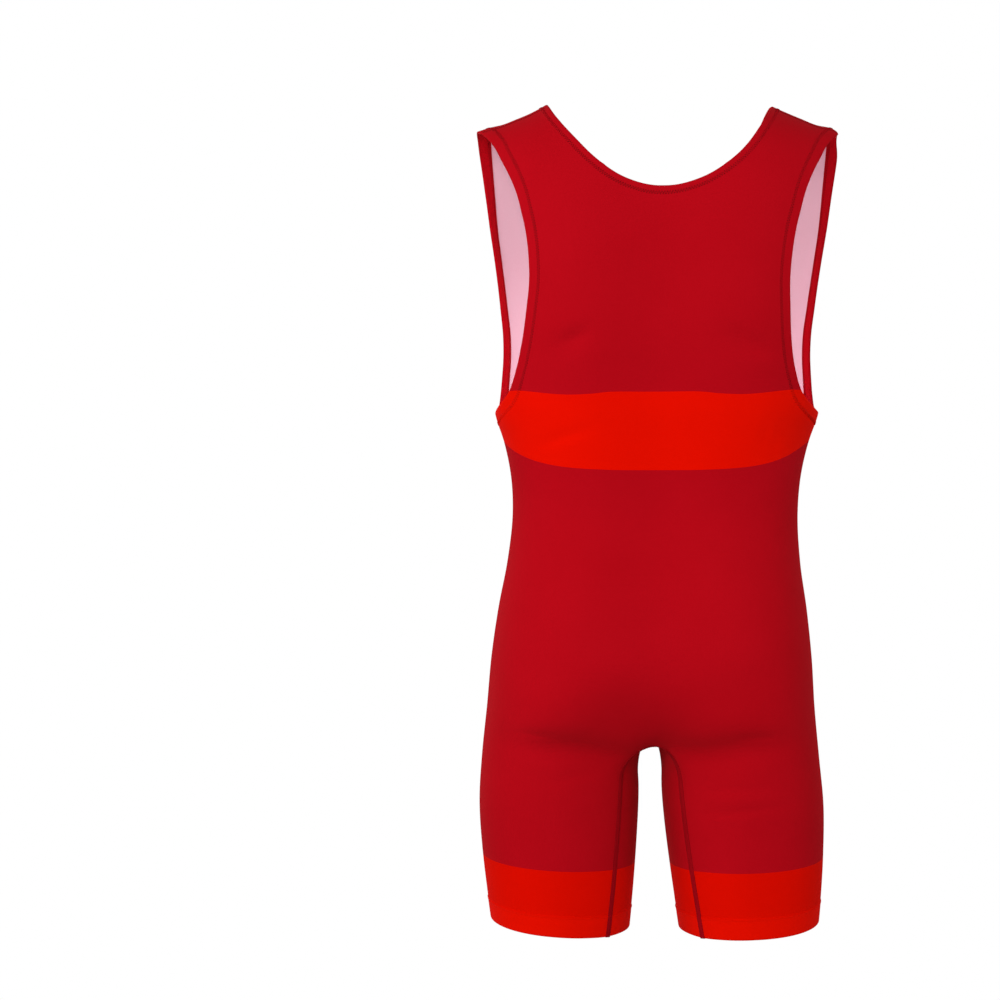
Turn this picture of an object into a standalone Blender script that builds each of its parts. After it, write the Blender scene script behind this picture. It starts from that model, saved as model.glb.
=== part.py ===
"""A wrestling singlet, filled out as it is worn, with no wearer in it.

Two long panels, a back and a front, run from the shoulder seams to the leg hems, and an inner leg
gusset joins them between the legs. The neck, the armholes and the legs are hemmed with the cloth
turned in. Every piece is a thin wall of knitted cloth around an empty, general figure.

Frame: metres, +Z up, the garment's back faces -Y and the wearer's right hand side is +X. The origin
lies midway between the two straps, at the height where the shoulders carry them.

Three coordinates describe the cloth of one half of the garment:
    t    share of the quarter girth, 0 at the centre line or inseam and 1 at the side seam
    run  height along the cloth: the plain height up to ARCH_RUN_START, and from there on the way over
         the shoulder, which is a quarter turn after ARCH_RUN metres
    x    distance from the middle of the garment, used for the edges that are cut into a panel
"""

from collections import namedtuple

import bmesh
import bpy
import numpy as np

# ---------------------------------------------------------------- driving dimensions, in metres
WALL = 0.0012  # the knitted cloth
SEAM_GAP = 0.0003  # between two pieces at a seam, and between two layers of cloth
NECK_HEM = 0.008
ARMHOLE_HEM = 0.010
HEM_INSET = 0.0006  # a turned-in layer stops this far inside the fold

ARCH_RUN_START = -0.110  # height at which the cloth begins to roll over the shoulder
ARCH_RUN = 0.140  # cloth from there to the top of the shoulder
SHOULDER_SEAM_TURN = 80.0  # degrees of that roll at the seam, so it lies just behind the top

UNDERARM_RUN = -0.305
CROTCH_RUN = -0.6435
SEAT_RUN = -0.555
LEG_HEM_RUN = -0.8370

BACK_APEX_Y = -0.052  # where the gusset's back and front seams cross the middle
FRONT_APEX_Y = 0.050
ARCH_X_BACK = 0.029  # half width of the seam's arch over the crotch
ARCH_X_FRONT = 0.026
SEAM_ARCH_HEIGHT = 0.035
SEAM_SPLAY_BACK = 0.0195  # how much further out the seam lies at the hem
SEAM_SPLAY_FRONT = 0.0144
SEAM_TURN_BACK = 47.0  # degrees between the cloth at the seam and the +X axis, at the hem
SEAM_TURN_FRONT = 56.0
SEAM_TURN_FADE = 0.016
SADDLE_REACH = 0.030  # height over which the crotch's saddle opens out
GUSSET_SAG = 0.003

COLUMNS = 11  # cells across a quarter of the garment
GUSSET_COLUMNS = 6
INNER_SHARE = 0.40  # share of t from the centre line or inseam to the fullest line

CRIMSON = (0.46, 0.006, 0.010, 1.0)
SCARLET = (0.73, 0.010, 0.002, 1.0)
WHITE_INSIDE = (0.80, 0.74, 0.76, 1.0)

# ---------------------------------------------------------------- tables with named columns
# The figure that fills the garment, one row for each girth from the leg hem up. side_x is its half
# width, full_x where its back and front are fullest, back_y and front_y how far they reach there,
# hollow_back and hollow_front how much flatter the centre line is, and power the roundness of the
# outer quarter: 2 is an ellipse, more is squarer.
Girth = namedtuple("Girth", "run side_x full_x back_y hollow_back front_y hollow_front power")
FIGURE = (
    Girth(-0.860, 0.1645, 0.0985, -0.0735, 0.000, 0.0720, 0.000, 2.00),
    Girth(-0.807, 0.1708, 0.0975, -0.0785, 0.000, 0.0765, 0.000, 2.00),
    Girth(-0.757, 0.1752, 0.0965, -0.0835, 0.000, 0.0805, 0.000, 2.00),
    Girth(-0.707, 0.1768, 0.0950, -0.0885, 0.000, 0.0845, 0.000, 2.05),
    Girth(-0.657, 0.1730, 0.0900, -0.0970, 0.002, 0.0885, 0.002, 2.10),
    Girth(-0.607, 0.1680, 0.0820, -0.1130, 0.005, 0.0910, 0.002, 2.15),
    Girth(-0.555, 0.1640, 0.0740, -0.1200, 0.006, 0.0925, 0.001, 2.20),
    Girth(-0.507, 0.1582, 0.0640, -0.1130, 0.005, 0.0930, 0.000, 2.25),
    Girth(-0.457, 0.1502, 0.0560, -0.0970, 0.004, 0.0915, 0.000, 2.25),
    Girth(-0.407, 0.1465, 0.0520, -0.0850, 0.003, 0.0915, 0.000, 2.25),
    Girth(-0.370, 0.1490, 0.0530, -0.0850, 0.003, 0.0950, 0.001, 2.25),
    Girth(-0.335, 0.1565, 0.0560, -0.0910, 0.003, 0.1000, 0.002, 2.25),
    Girth(-0.306, 0.1660, 0.0580, -0.0970, 0.003, 0.1050, 0.003, 2.25),
    Girth(-0.285, 0.1690, 0.0600, -0.1010, 0.004, 0.1080, 0.003, 2.25),
    Girth(-0.245, 0.1700, 0.0620, -0.1080, 0.004, 0.1100, 0.003, 2.20),
    Girth(-0.195, 0.1720, 0.0640, -0.1130, 0.005, 0.1080, 0.003, 2.20),
    Girth(-0.145, 0.1770, 0.0640, -0.1130, 0.004, 0.1030, 0.002, 2.20),
    Girth(-0.110, 0.1835, 0.0630, -0.1110, 0.003, 0.0980, 0.002, 2.15),
    Girth(-0.060, 0.1965, 0.0600, -0.1080, 0.002, 0.0940, 0.001, 2.10),
    Girth(0.000, 0.2090, 0.0600, -0.1060, 0.000, 0.0920, 0.000, 2.10),
    Girth(0.050, 0.2090, 0.0600, -0.1060, 0.000, 0.0920, 0.000, 2.10),
)

# Height of the top of the shoulder, from the neck out to the end of the strap.
Shoulder = namedtuple("Shoulder", "x top_z")
SHOULDER_LINE = (
    Shoulder(0.000, 0.0600),
    Shoulder(0.060, 0.0440),
    Shoulder(0.095, 0.0270),
    Shoulder(0.1145, 0.0155),
    Shoulder(0.1300, 0.0082),
    Shoulder(0.1450, 0.0015),
    Shoulder(0.1600, -0.0050),
    Shoulder(0.1750, -0.0085),
    Shoulder(0.1890, -0.0125),
)

# Edges cut into the panels, as points along the cloth.
Cut = namedtuple("Cut", "x run")
NECK_BACK = (
    Cut(0.0000, -0.0966),
    Cut(0.0250, -0.0942),
    Cut(0.0500, -0.0870),
    Cut(0.0750, -0.0722),
    Cut(0.0950, -0.0497),
    Cut(0.1060, -0.0280),
    Cut(0.1118, -0.0070),
    Cut(0.1150, 0.0144),
)
NECK_FRONT = (
    Cut(0.0000, -0.1500),
    Cut(0.0250, -0.1465),
    Cut(0.0460, -0.1365),
    Cut(0.0640, -0.1200),
    Cut(0.0790, -0.0980),
    Cut(0.0910, -0.0700),
    Cut(0.1010, -0.0400),
    Cut(0.1090, -0.0080),
    Cut(0.1135, 0.0220),
    Cut(0.1150, 0.0456),
)
ARMHOLE_BACK = (
    Cut(0.1875, 0.0144),
    Cut(0.1830, -0.0020),
    Cut(0.1745, -0.0245),
    Cut(0.1665, -0.0420),
    Cut(0.1598, -0.0585),
    Cut(0.1526, -0.0735),
    Cut(0.1425, -0.0960),
    Cut(0.1357, -0.1187),
    Cut(0.1301, -0.1540),
    Cut(0.1289, -0.1790),
    Cut(0.1304, -0.2030),
    Cut(0.1340, -0.2384),
    Cut(0.1396, -0.2660),
    Cut(0.1472, -0.2865),
)
ARMHOLE_FRONT = (
    Cut(0.1875, 0.0456),
    Cut(0.1892, 0.0250),
    Cut(0.1892, 0.0010),
    Cut(0.1883, -0.0250),
    Cut(0.1848, -0.0585),
    Cut(0.1797, -0.0940),
    Cut(0.1757, -0.1190),
    Cut(0.1718, -0.1440),
    Cut(0.1684, -0.1690),
    Cut(0.1654, -0.1950),
    Cut(0.1629, -0.2190),
    Cut(0.1621, -0.2440),
    Cut(0.1630, -0.2680),
    Cut(0.1640, -0.2870),
    Cut(0.1650, -0.2990),
)

# The garment stands with its weight to one side: how far its middle swings off the straight line.
Sway = namedtuple("Sway", "z x")
SWAY = (
    Sway(-0.860, -0.0010),
    Sway(-0.800, -0.0025),
    Sway(-0.720, -0.0050),
    Sway(-0.660, -0.0063),
    Sway(-0.600, -0.0060),
    Sway(-0.500, -0.0040),
    Sway(-0.400, -0.0010),
    Sway(-0.300, 0.0005),
    Sway(-0.200, 0.0020),
    Sway(-0.100, 0.0030),
    Sway(0.020, 0.0030),
)

# Rows of cells in a panel, from one level to the next one up. inner is the level's run on the centre
# line, inseam or neck hem, and outer its run on the side seam or armhole hem.
Level = namedtuple("Level", "name cells inner outer")
LEVELS = (
    Level("leg hem", 0, LEG_HEM_RUN, -0.8270),
    Level("leg hem top", 1, -0.8160, -0.8062),
    Level("leg band top", 3, -0.7715, -0.7632),
    Level("crotch", 9, CROTCH_RUN, -0.6000),
    Level("chest band foot", 15, -0.3645, -0.3360),
    Level("underarm", 1, -0.3480, UNDERARM_RUN - ARMHOLE_HEM),
    Level("chest band top", 4, -0.2880, -0.2845),
    Level("neck", 10, None, None),
    Level("shoulder seam", 9, None, None),
)
NECK_ROW_FALL = 0.030  # the row that meets the neck hem ends this much lower on the armhole hem
ROW_CURVE = 1.6  # how much later than evenly a row above the crotch climbs towards the side
ROW_CURVE_FADE = 0.015
LEG_CROWDING = 1.8  # how strongly the rows crowd towards the seam's arch over the crotch
SCARLET_ROWS = ((0, 4), (28, 33))  # the printed leg band and chest band

# The largest soft folds, each a trough that is longest along its slope. z is a height.
Fold = namedtuple("Fold", "face x z half_length half_width depth slope")
FOLDS = (
    Fold("back", 0.084, -0.6290, 0.055, 0.016, 0.0060, 2.0),
    Fold("back", 0.083, -0.2400, 0.024, 0.013, 0.0025, -18.0),
    Fold("back", 0.105, -0.5700, 0.045, 0.020, 0.0020, 22.0),
    Fold("front", 0.060, -0.6150, 0.060, 0.018, 0.0040, 20.0),
    Fold("front", 0.120, -0.2950, 0.035, 0.016, 0.0025, 30.0),
)

FOLD_FADE_TOP = -0.600  # below this height a fold dies out towards the inseam
FOLD_FADE_RISE = 0.040
FOLD_FADE_SHARE = 0.15

FACING = {"back": -1.0, "front": 1.0}


# ---------------------------------------------------------------- curves
def smooth(at, xs, ys):
    """A cubic curve through (xs, ys), whose slope at each point comes from its neighbours."""
    slopes = np.gradient(ys, xs)
    i = np.clip(np.searchsorted(xs, at) - 1, 0, len(xs) - 2)
    width = xs[i + 1] - xs[i]
    f = np.clip((at - xs[i]) / width, 0.0, 1.0)
    rise = ys[i + 1] - ys[i]
    ease = f * f * (3.0 - 2.0 * f)
    return (
        ys[i]
        + rise * ease
        + slopes[i] * width * f * (1.0 - f) ** 2
        - slopes[i + 1] * width * f * f * (1.0 - f)
    )


def column(table, name):
    return np.array([getattr(row, name) for row in table])


def quarter(f):
    """A quarter of a circle's rise: steep at 0, level at 1 and beyond."""
    return np.sqrt(1.0 - (1.0 - np.clip(f, 0.0, 1.0)) ** 2)


# ---------------------------------------------------------------- the figure
def seam_drop(run):
    return np.maximum(CROTCH_RUN - run, 0.0)


def seam_place(face, run):
    """(x, y) of the gusset's seam on this face, at heights below the crotch."""
    drop = seam_drop(run)
    back = face == "back"
    arch = (ARCH_X_BACK if back else ARCH_X_FRONT) * quarter(drop / SEAM_ARCH_HEIGHT)
    splay = SEAM_SPLAY_BACK if back else SEAM_SPLAY_FRONT
    x = arch + splay * (drop / (CROTCH_RUN - LEG_HEM_RUN)) ** 1.5
    return x, np.full_like(x, BACK_APEX_Y if back else FRONT_APEX_Y)


def seam_direction(face, run):
    """Level direction of the cloth where it leaves the gusset's seam, towards the fullest line."""
    turn = SEAM_TURN_BACK if face == "back" else SEAM_TURN_FRONT
    angle = np.radians(turn + (90.0 - turn) * np.exp(-seam_drop(run) / SEAM_TURN_FADE))
    return np.cos(angle), FACING[face] * np.sin(angle)


def girth(face, t, run):
    """(x, y) on the figure's girth at a run: an eased curve to the fullest line, then a round quarter."""
    ring = {name: smooth(run, column(FIGURE, "run"), column(FIGURE, name)) for name in Girth._fields[1:]}
    full_y = ring[face + "_y"]
    above = np.maximum(run, SEAT_RUN)
    centre_y = smooth(above, column(FIGURE, "run"), column(FIGURE, face + "_y"))
    centre_y = centre_y - FACING[face] * smooth(
        above, column(FIGURE, "run"), column(FIGURE, "hollow_" + face)
    )
    apex_y = BACK_APEX_Y if face == "back" else FRONT_APEX_Y
    rise = (run - CROTCH_RUN) / (SEAT_RUN - CROTCH_RUN)
    centre_y = apex_y + (centre_y - apex_y) * quarter(rise)
    seam_x, seam_y = seam_place(face, run)
    in_leg = run < CROTCH_RUN
    start_x = np.where(in_leg, seam_x, 0.0)
    start_y = np.where(in_leg, seam_y, centre_y)
    lean_x, lean_y = seam_direction(face, run)
    lean_x = np.where(in_leg, lean_x, 1.0)
    lean_y = np.where(in_leg, lean_y, 0.0)

    reach = np.hypot(ring["full_x"] - start_x, full_y - start_y)
    opening = reach * np.sqrt(np.clip(np.abs(run - CROTCH_RUN) / SADDLE_REACH, 0.0, 1.0))
    f = np.clip(t / INNER_SHARE, 0.0, 1.0)
    ease = f * f * (3.0 - 2.0 * f)
    leave = f * (1.0 - f) ** 2 * opening
    arrive = f * f * (1.0 - f) * reach
    x = start_x + (ring["full_x"] - start_x) * ease + leave * lean_x - arrive
    y = start_y + (full_y - start_y) * ease + leave * lean_y

    angle = 0.5 * np.pi * np.clip((t - INNER_SHARE) / (1.0 - INNER_SHARE), 0.0, 1.0)
    power = ring["power"]
    radius = (np.abs(np.cos(angle)) ** power + np.sin(angle) ** power) ** (-1.0 / power)
    outer = t > INNER_SHARE
    x = np.where(outer, ring["full_x"] + (ring["side_x"] - ring["full_x"]) * np.sin(angle) * radius, x)
    y = np.where(outer, full_y * np.cos(angle) * radius, y)
    return x, y


def cloth(face, t, run):
    """The middle of the cloth's wall at (t, run), as an array of points."""
    t, run = np.broadcast_arrays(np.asarray(t, float), np.asarray(run, float))
    x, y = girth(face, t, run)
    roll = 0.5 * np.pi * np.maximum(run - ARCH_RUN_START, 0.0) / ARCH_RUN
    top = smooth(x, column(SHOULDER_LINE, "x"), column(SHOULDER_LINE, "top_z"))
    z = np.where(run > ARCH_RUN_START, ARCH_RUN_START + (top - ARCH_RUN_START) * np.sin(roll), run)
    y = y * np.cos(roll) - FACING[face] * fold_depth(face, t, x, z)
    points = np.stack([x, y, z], axis=-1)
    if face == "front":  # past the top of the shoulder the front panel lies on the back's side of it
        top_run = ARCH_RUN_START + ARCH_RUN
        over = cloth("back", t, np.minimum(2.0 * top_run - run, top_run))
        points = np.where((run > top_run)[..., None], over, points)
    return points


def fold_depth(face, t, x, z):
    """How far the folds of this face push the cloth in. They die out towards the seams."""
    depth = np.zeros_like(x)
    for fold in FOLDS:
        if fold.face == face:
            slope = np.radians(fold.slope)
            along = (x - fold.x) * np.cos(slope) + (z - fold.z) * np.sin(slope)
            across = (z - fold.z) * np.cos(slope) - (x - fold.x) * np.sin(slope)
            depth += fold.depth * np.exp(-((along / fold.half_length) ** 2) - (across / fold.half_width) ** 2)
    by_inseam = np.clip((FOLD_FADE_TOP - z) / FOLD_FADE_RISE, 0.0, 1.0)
    return depth * (1.0 - t**6) * (1.0 - by_inseam * np.exp(-((t / FOLD_FADE_SHARE) ** 2)))


def outward(face, t, run):
    """Unit normals of the cloth, away from the wearer."""
    step = 1e-4
    inside_t = np.clip(t, step, 1.0 - step)
    across = cloth(face, inside_t + step, run) - cloth(face, inside_t - step, run)
    up = cloth(face, inside_t, run + step) - cloth(face, inside_t, run - step)
    normal = np.cross(across, up) * -FACING[face]
    return normal / np.linalg.norm(normal, axis=-1, keepdims=True)


def along_run(face, t, run):
    """Unit tangents of the cloth, up the run."""
    up = cloth(face, t, run) - cloth(face, t, run - 1e-4)
    return up / np.linalg.norm(up, axis=-1, keepdims=True)


# ---------------------------------------------------------------- edges and levels of a panel
def shoulder_run(face):
    """Run of the shoulder seam on this face."""
    turn = SHOULDER_SEAM_TURN if face == "back" else 180.0 - SHOULDER_SEAM_TURN
    return ARCH_RUN_START + ARCH_RUN * turn / 90.0


def share_at(face, x, run):
    """t of the points whose distance from the middle is x."""
    shares = np.linspace(0.0, 1.0, 401)
    return np.array([np.interp(a, girth(face, shares, np.full(401, b))[0], shares) for a, b in zip(x, run)])


def cut_line(face, cuts, ends_at_side):
    """(t, run) along a cut edge, 161 points from its lower end up to the shoulder seam."""
    x, run = column(cuts, "x"), column(cuts, "run")
    if ends_at_side:
        side_x = smooth(UNDERARM_RUN, column(FIGURE, "run"), column(FIGURE, "side_x"))
        x, run = np.append(x, side_x)[::-1], np.append(run, UNDERARM_RUN)[::-1]
    else:  # one point past the middle keeps the neck level where its halves meet
        x, run = np.append(-x[1], x), np.append(run[1], run)
    along = np.concatenate([[0.0], np.cumsum(np.hypot(np.diff(x), np.diff(run)))])
    fine = np.linspace(0.0 if ends_at_side else along[1], along[-1], 161)
    x, run = smooth(fine, along, x), smooth(fine, along, run)
    run = np.minimum(run, shoulder_run(face))
    t = share_at(face, x, run)
    t[0] = 1.0 if ends_at_side else 0.0
    return t, run


def hem_line(face, t, run, width, side):
    """(t, run) of the line that lies width inside a cut edge. side says on which hand the panel is."""
    step = 1e-4
    points = cloth(face, t, run)
    ahead = np.gradient(points, axis=0)
    ahead /= np.linalg.norm(ahead, axis=1, keepdims=True)
    into = side * np.cross(outward(face, t, run), ahead)
    inside_t = np.clip(t, step, 1.0 - step)
    by_t = (cloth(face, inside_t + step, run) - cloth(face, inside_t - step, run)) / (2 * step)
    by_run = (cloth(face, inside_t, run + step) - cloth(face, inside_t, run - step)) / (2 * step)
    a, b, c = (np.sum(u * v, 1) for u, v in ((by_t, by_t), (by_t, by_run), (by_run, by_run)))
    p, q = (width * np.sum(u * into, 1) for u in (by_t, by_run))
    dt, drun = (c * p - b * q) / (a * c - b * b), (a * q - b * p) / (a * c - b * b)
    new_t, new_run = t + dt, run + drun
    new_t[0] = t[0]
    # The last stretch is eased on to the shoulder seam, the hem's width along it from the cut edge.
    on_seam = t[-1] + np.linspace(0.0, 0.2, 101) * np.sign(new_t[-1] - t[-1])
    reach = np.linalg.norm(cloth(face, on_seam, run[-1]) - points[-1], axis=1)
    fade = np.linspace(0.0, 1.0, len(t)) ** 12
    new_t += (np.interp(width, reach, on_seam) - new_t[-1]) * fade
    new_run += (run[-1] - new_run[-1]) * fade
    return new_t, np.maximum.accumulate(new_run)


def level_stops(face, inner_start, outer_start):
    """(cells, inner run, outer run) of each level of this face's panel."""
    for level in LEVELS:
        inner, outer = level.inner, level.outer
        if level.name == "neck":
            inner, outer = inner_start, inner_start - NECK_ROW_FALL
        if level.name == "underarm":
            outer = outer_start
        if level.name == "shoulder seam":
            inner = outer = shoulder_run(face)
        yield level.cells, inner, outer


def border_nodes(face, hem, corner_t, stops, crowding):
    """Nodes of a panel's inner or outer border, as (t, run), and their places along the hem line.

    Below the first point of hem the border is the straight line t = corner_t.
    """
    low = np.linspace(stops[0][1], hem[1][0], 400)[:-1]
    t = np.concatenate([np.full(len(low), corner_t), hem[0]])
    run = np.concatenate([low, hem[1]])
    along = np.concatenate([[0.0], np.cumsum(np.linalg.norm(np.diff(cloth(face, t, run), axis=0), axis=1))])
    places = [0.0]
    for (_, below), (cells, here) in zip(stops[:-1], stops[1:]):
        share = np.arange(1, cells + 1) / cells
        if here <= CROTCH_RUN:  # along a leg the nodes go by height, so back and front agree
            height = here - (here - below) * (1.0 - share) ** (crowding if here == CROTCH_RUN else 1.0)
            places += list(np.interp(height, run, along))
        else:
            low_end, high_end = np.interp([below, here], run, along)
            places += list(low_end + (high_end - low_end) * share)
    places = np.array(places)
    index = np.interp(places, along[len(low) :], np.arange(len(hem[0])))
    return np.interp(places, along, t), np.interp(places, along, run), index


def half_panel(face):
    """The half at +X of a front or back panel: the (t, run) of its nodes.

    grid holds a row of nodes for each level line, neck and armhole the nodes on the cut edges, from
    neck_row and armhole_row up.
    """
    neck = cut_line(face, NECK_BACK if face == "back" else NECK_FRONT, False)
    armhole = cut_line(face, ARMHOLE_BACK if face == "back" else ARMHOLE_FRONT, True)
    neck_hem = hem_line(face, *neck, NECK_HEM, FACING[face])
    armhole_hem = hem_line(face, *armhole, ARMHOLE_HEM, -FACING[face])
    stops = list(level_stops(face, neck_hem[1][0], armhole_hem[1][0]))
    inner = border_nodes(face, neck_hem, 0.0, [(c, i) for c, i, _ in stops], LEG_CROWDING)
    outer = border_nodes(face, armhole_hem, 1.0, [(c, o) for c, _, o in stops], 1.0)
    share = np.linspace(0.0, 1.0, COLUMNS + 1)
    # A row leaves the centre line level and climbs towards the side. On a leg it climbs evenly.
    late = 1.0 + ROW_CURVE / (1.0 + np.exp((CROTCH_RUN - inner[1]) / ROW_CURVE_FADE))[:, None]
    t = inner[0][:, None] + (outer[0] - inner[0])[:, None] * share
    run = inner[1][:, None] + (outer[1] - inner[1])[:, None] * share**late
    half = {"grid": (t, run)}
    for name, edge, index, levels in (("neck", neck, inner[2], 8), ("armhole", armhole, outer[2], 6)):
        row = sum(level.cells for level in LEVELS[:levels])
        half[name] = tuple(np.interp(index[row:], np.arange(len(edge[0])), values) for values in edge)
        half[name + "_row"] = row
    return half


# ---------------------------------------------------------------- meshes
def material(name, colour, roughness):
    made = bpy.data.materials.new(name)
    made.use_nodes = True
    shader = made.node_tree.nodes["Principled BSDF"]
    shader.inputs["Base Color"].default_value = colour
    shader.inputs["Roughness"].default_value = roughness
    shader.inputs["Metallic"].default_value = 0.0
    return made


def quads(rows, columns, flip=False, turned=False, closed=False):
    """Faces of a grid of rows x columns points. turned starts each face at its next corner.

    The corner that a face starts at decides which way it is split in two, so layers of cloth that
    lie on each other are split alike.
    """
    faces = []
    for j in range(rows - 1):
        for i in range(columns if closed else columns - 1):
            a, b = j * columns + i, j * columns + (i + 1) % columns
            face = (b, b + columns, a + columns, a) if turned else (a, b, b + columns, a + columns)
            faces.append(face[::-1] if flip else face)
    return faces


def cloth_object(name, points, faces, mirrored, colours, slots, collection):
    """A wall of cloth around the surface through points, mirrored across the middle if asked."""
    if mirrored:
        faces = faces + [tuple(k + len(points) for k in (f[0], f[3], f[2], f[1])) for f in faces]
        points = np.concatenate([points, points * np.array([-1.0, 1.0, 1.0])])
        slots = slots * 2
    points[:, 0] += smooth(points[:, 2], column(SWAY, "z"), column(SWAY, "x"))
    mesh = bpy.data.meshes.new(name)
    mesh.from_pydata([tuple(p) for p in points], [], faces)
    for entry in colours:
        mesh.materials.append(entry)
    mesh.polygons.foreach_set("material_index", slots)
    shape = bmesh.new()
    shape.from_mesh(mesh)
    bmesh.ops.remove_doubles(shape, verts=shape.verts, dist=1e-6)
    shape.to_mesh(mesh)
    shape.free()
    mesh.shade_smooth()
    made = bpy.data.objects.new(name, mesh)
    collection.objects.link(made)
    wall = made.modifiers.new("Wall", "SOLIDIFY")
    wall.thickness = WALL
    wall.offset = 0.0
    wall.material_offset = len(colours) // 2
    return made


def panel_object(face, half, colours, collection):
    """A whole front or back panel, from the points of its half."""
    t, run = half["grid"]
    rows, columns = t.shape
    grid = cloth(face, t, run)
    crotch_row = sum(level.cells for level in LEVELS[:4])
    lean = np.stack(seam_direction(face, run[: crotch_row + 1, 0]), axis=-1)
    grid[: crotch_row + 1, 0, :2] += 0.5 * SEAM_GAP * lean
    grid[crotch_row, 0, 0] = 0.0
    grid[crotch_row + 1 : half["neck_row"] + 1, 0, 0] = 0.0
    grid[: half["armhole_row"] + 1, -1, 1] += 0.5 * SEAM_GAP * FACING[face]
    neck = cloth(face, *half["neck"])
    neck[0, 0] = 0.0
    armhole = cloth(face, *half["armhole"])
    armhole[0, 1] += 0.5 * SEAM_GAP * FACING[face]
    for points, (t, run) in ((grid[-1:], half["grid"]), (neck[-1:], half["neck"]), (armhole[-1:], half["armhole"])):
        points[-1] -= 0.5 * SEAM_GAP * along_run(face, t[-1], run[-1])

    flip = face == "front"
    faces = quads(rows, columns, flip)
    slots = []
    for j in range(rows - 1):
        printed = any(low <= j < high for low, high in SCARLET_ROWS)
        slots += [int(printed)] * (columns - 1)
    points = grid.reshape(-1, 3)
    for strip, row, on_left in ((neck, half["neck_row"], True), (armhole, half["armhole_row"], False)):
        border = np.arange(row, rows) * columns + (0 if on_left else columns - 1)
        first = len(points)
        points = np.concatenate([points, strip])
        for k in range(len(strip) - 1):
            a, b = first + k, border[k]
            face_here = (a, b, border[k + 1], a + 1) if on_left else (b, a, a + 1, border[k + 1])
            faces.append(face_here[::-1] if flip else face_here)
            printed = any(low <= row + k < high for low, high in SCARLET_ROWS)
            slots.append(int(printed))
    return cloth_object(face + "_panel", points, faces, True, colours, slots, collection)


def gusset_rows(back, front):
    """Points of the inner leg gusset's half at +X, a row for each level from the hem to the crotch."""
    crotch_row = sum(level.cells for level in LEVELS[:4])
    heights = back["grid"][1][: crotch_row + 1, 0]
    u = np.linspace(0.0, 1.0, GUSSET_COLUMNS + 1)[None, :, None]
    ends = []
    for face in ("back", "front"):
        place = np.stack([*seam_place(face, heights), heights], axis=-1)
        lean = np.stack([*seam_direction(face, heights), np.zeros(len(heights))], axis=-1)
        ends.append((place - 0.5 * SEAM_GAP * lean, lean))
    (start, start_lean), (end, end_lean) = ends
    pull = 1.13 * np.linalg.norm(end - start, axis=1)[:, None, None]
    rows = (
        start[:, None] * (1.0 - u) ** 2 * (1.0 + 2.0 * u)
        + end[:, None] * u * u * (3.0 - 2.0 * u)
        - pull * start_lean[:, None] * u * (1.0 - u) ** 2
        - pull * end_lean[:, None] * u * u * (1.0 - u)
    )
    rows[-1, :, 0] = 0.0
    sag = GUSSET_SAG * 16.0 * (u * (1.0 - u)) ** 2
    fade = np.exp(-seam_drop(heights) / SADDLE_REACH)[:, None]
    rows[:, :, 2] -= sag[:, :, 0] * fade
    return rows


def gusset_object(rows, colours, collection):
    count, columns = rows.shape[:2]
    band_rows = sum(level.cells for level in LEVELS[:3])
    slots = [int(j < band_rows) for j in range(count - 1) for _ in range(columns - 1)]
    faces = quads(count, columns, flip=True)
    return cloth_object("inner_leg_gusset", rows.reshape(-1, 3), faces, True, colours, slots, collection)


def turned_in(face, edge, line):
    """Two lines of points, at a panel's fold and at its hem line, moved in by one layer of cloth."""
    layer = WALL + SEAM_GAP
    points = []
    for t, run in (edge, line):
        points.append(cloth(face, t, run) - layer * outward(face, t, run))
    inset = HEM_INSET / np.linalg.norm(points[1] - points[0], axis=1, keepdims=True)
    points[0] = points[0] + (points[1] - points[0]) * inset
    return points


def ring_object(name, fold, line, copied, colour, collection):
    """A turned-in hem all the way round an armhole or a leg, or its copy on the other side."""
    points = np.concatenate([fold, line]) * np.array([-1.0 if copied else 1.0, 1.0, 1.0])
    faces = quads(2, len(fold), flip=copied, turned=not copied, closed=True)
    return cloth_object(name, points, faces, False, [colour], [0] * len(faces), collection)


def armhole_hem(halves):
    """The fold line and the inner line of an armhole's hem, once round."""
    lines = []
    for face in ("back", "front"):
        half = halves[face]
        t, run = half["grid"]
        border = (t[half["armhole_row"] :, -1], run[half["armhole_row"] :, -1])
        lines.append(turned_in(face, half["armhole"], border))
    (back_fold, back_line), (front_fold, front_line) = lines
    fold = np.concatenate([back_fold, front_fold[-2:0:-1]])
    line = np.concatenate([back_line, front_line[-2:0:-1]])
    return fold, line


def neck_hem(halves):
    """The fold line and the inner line of half the neck's hem, from the back's middle to the front's."""
    rings = []
    for face in ("back", "front"):
        half = halves[face]
        t, run = half["grid"]
        border = (t[half["neck_row"] :, 0], run[half["neck_row"] :, 0])
        fold, line = turned_in(face, half["neck"], border)
        fold[0, 0] = line[0, 0] = 0.0
        rings.append((fold, line))
    (back_fold, back_line), (front_fold, front_line) = rings
    return np.concatenate([back_fold, front_fold[-2::-1]]), np.concatenate([back_line, front_line[-2::-1]])


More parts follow.
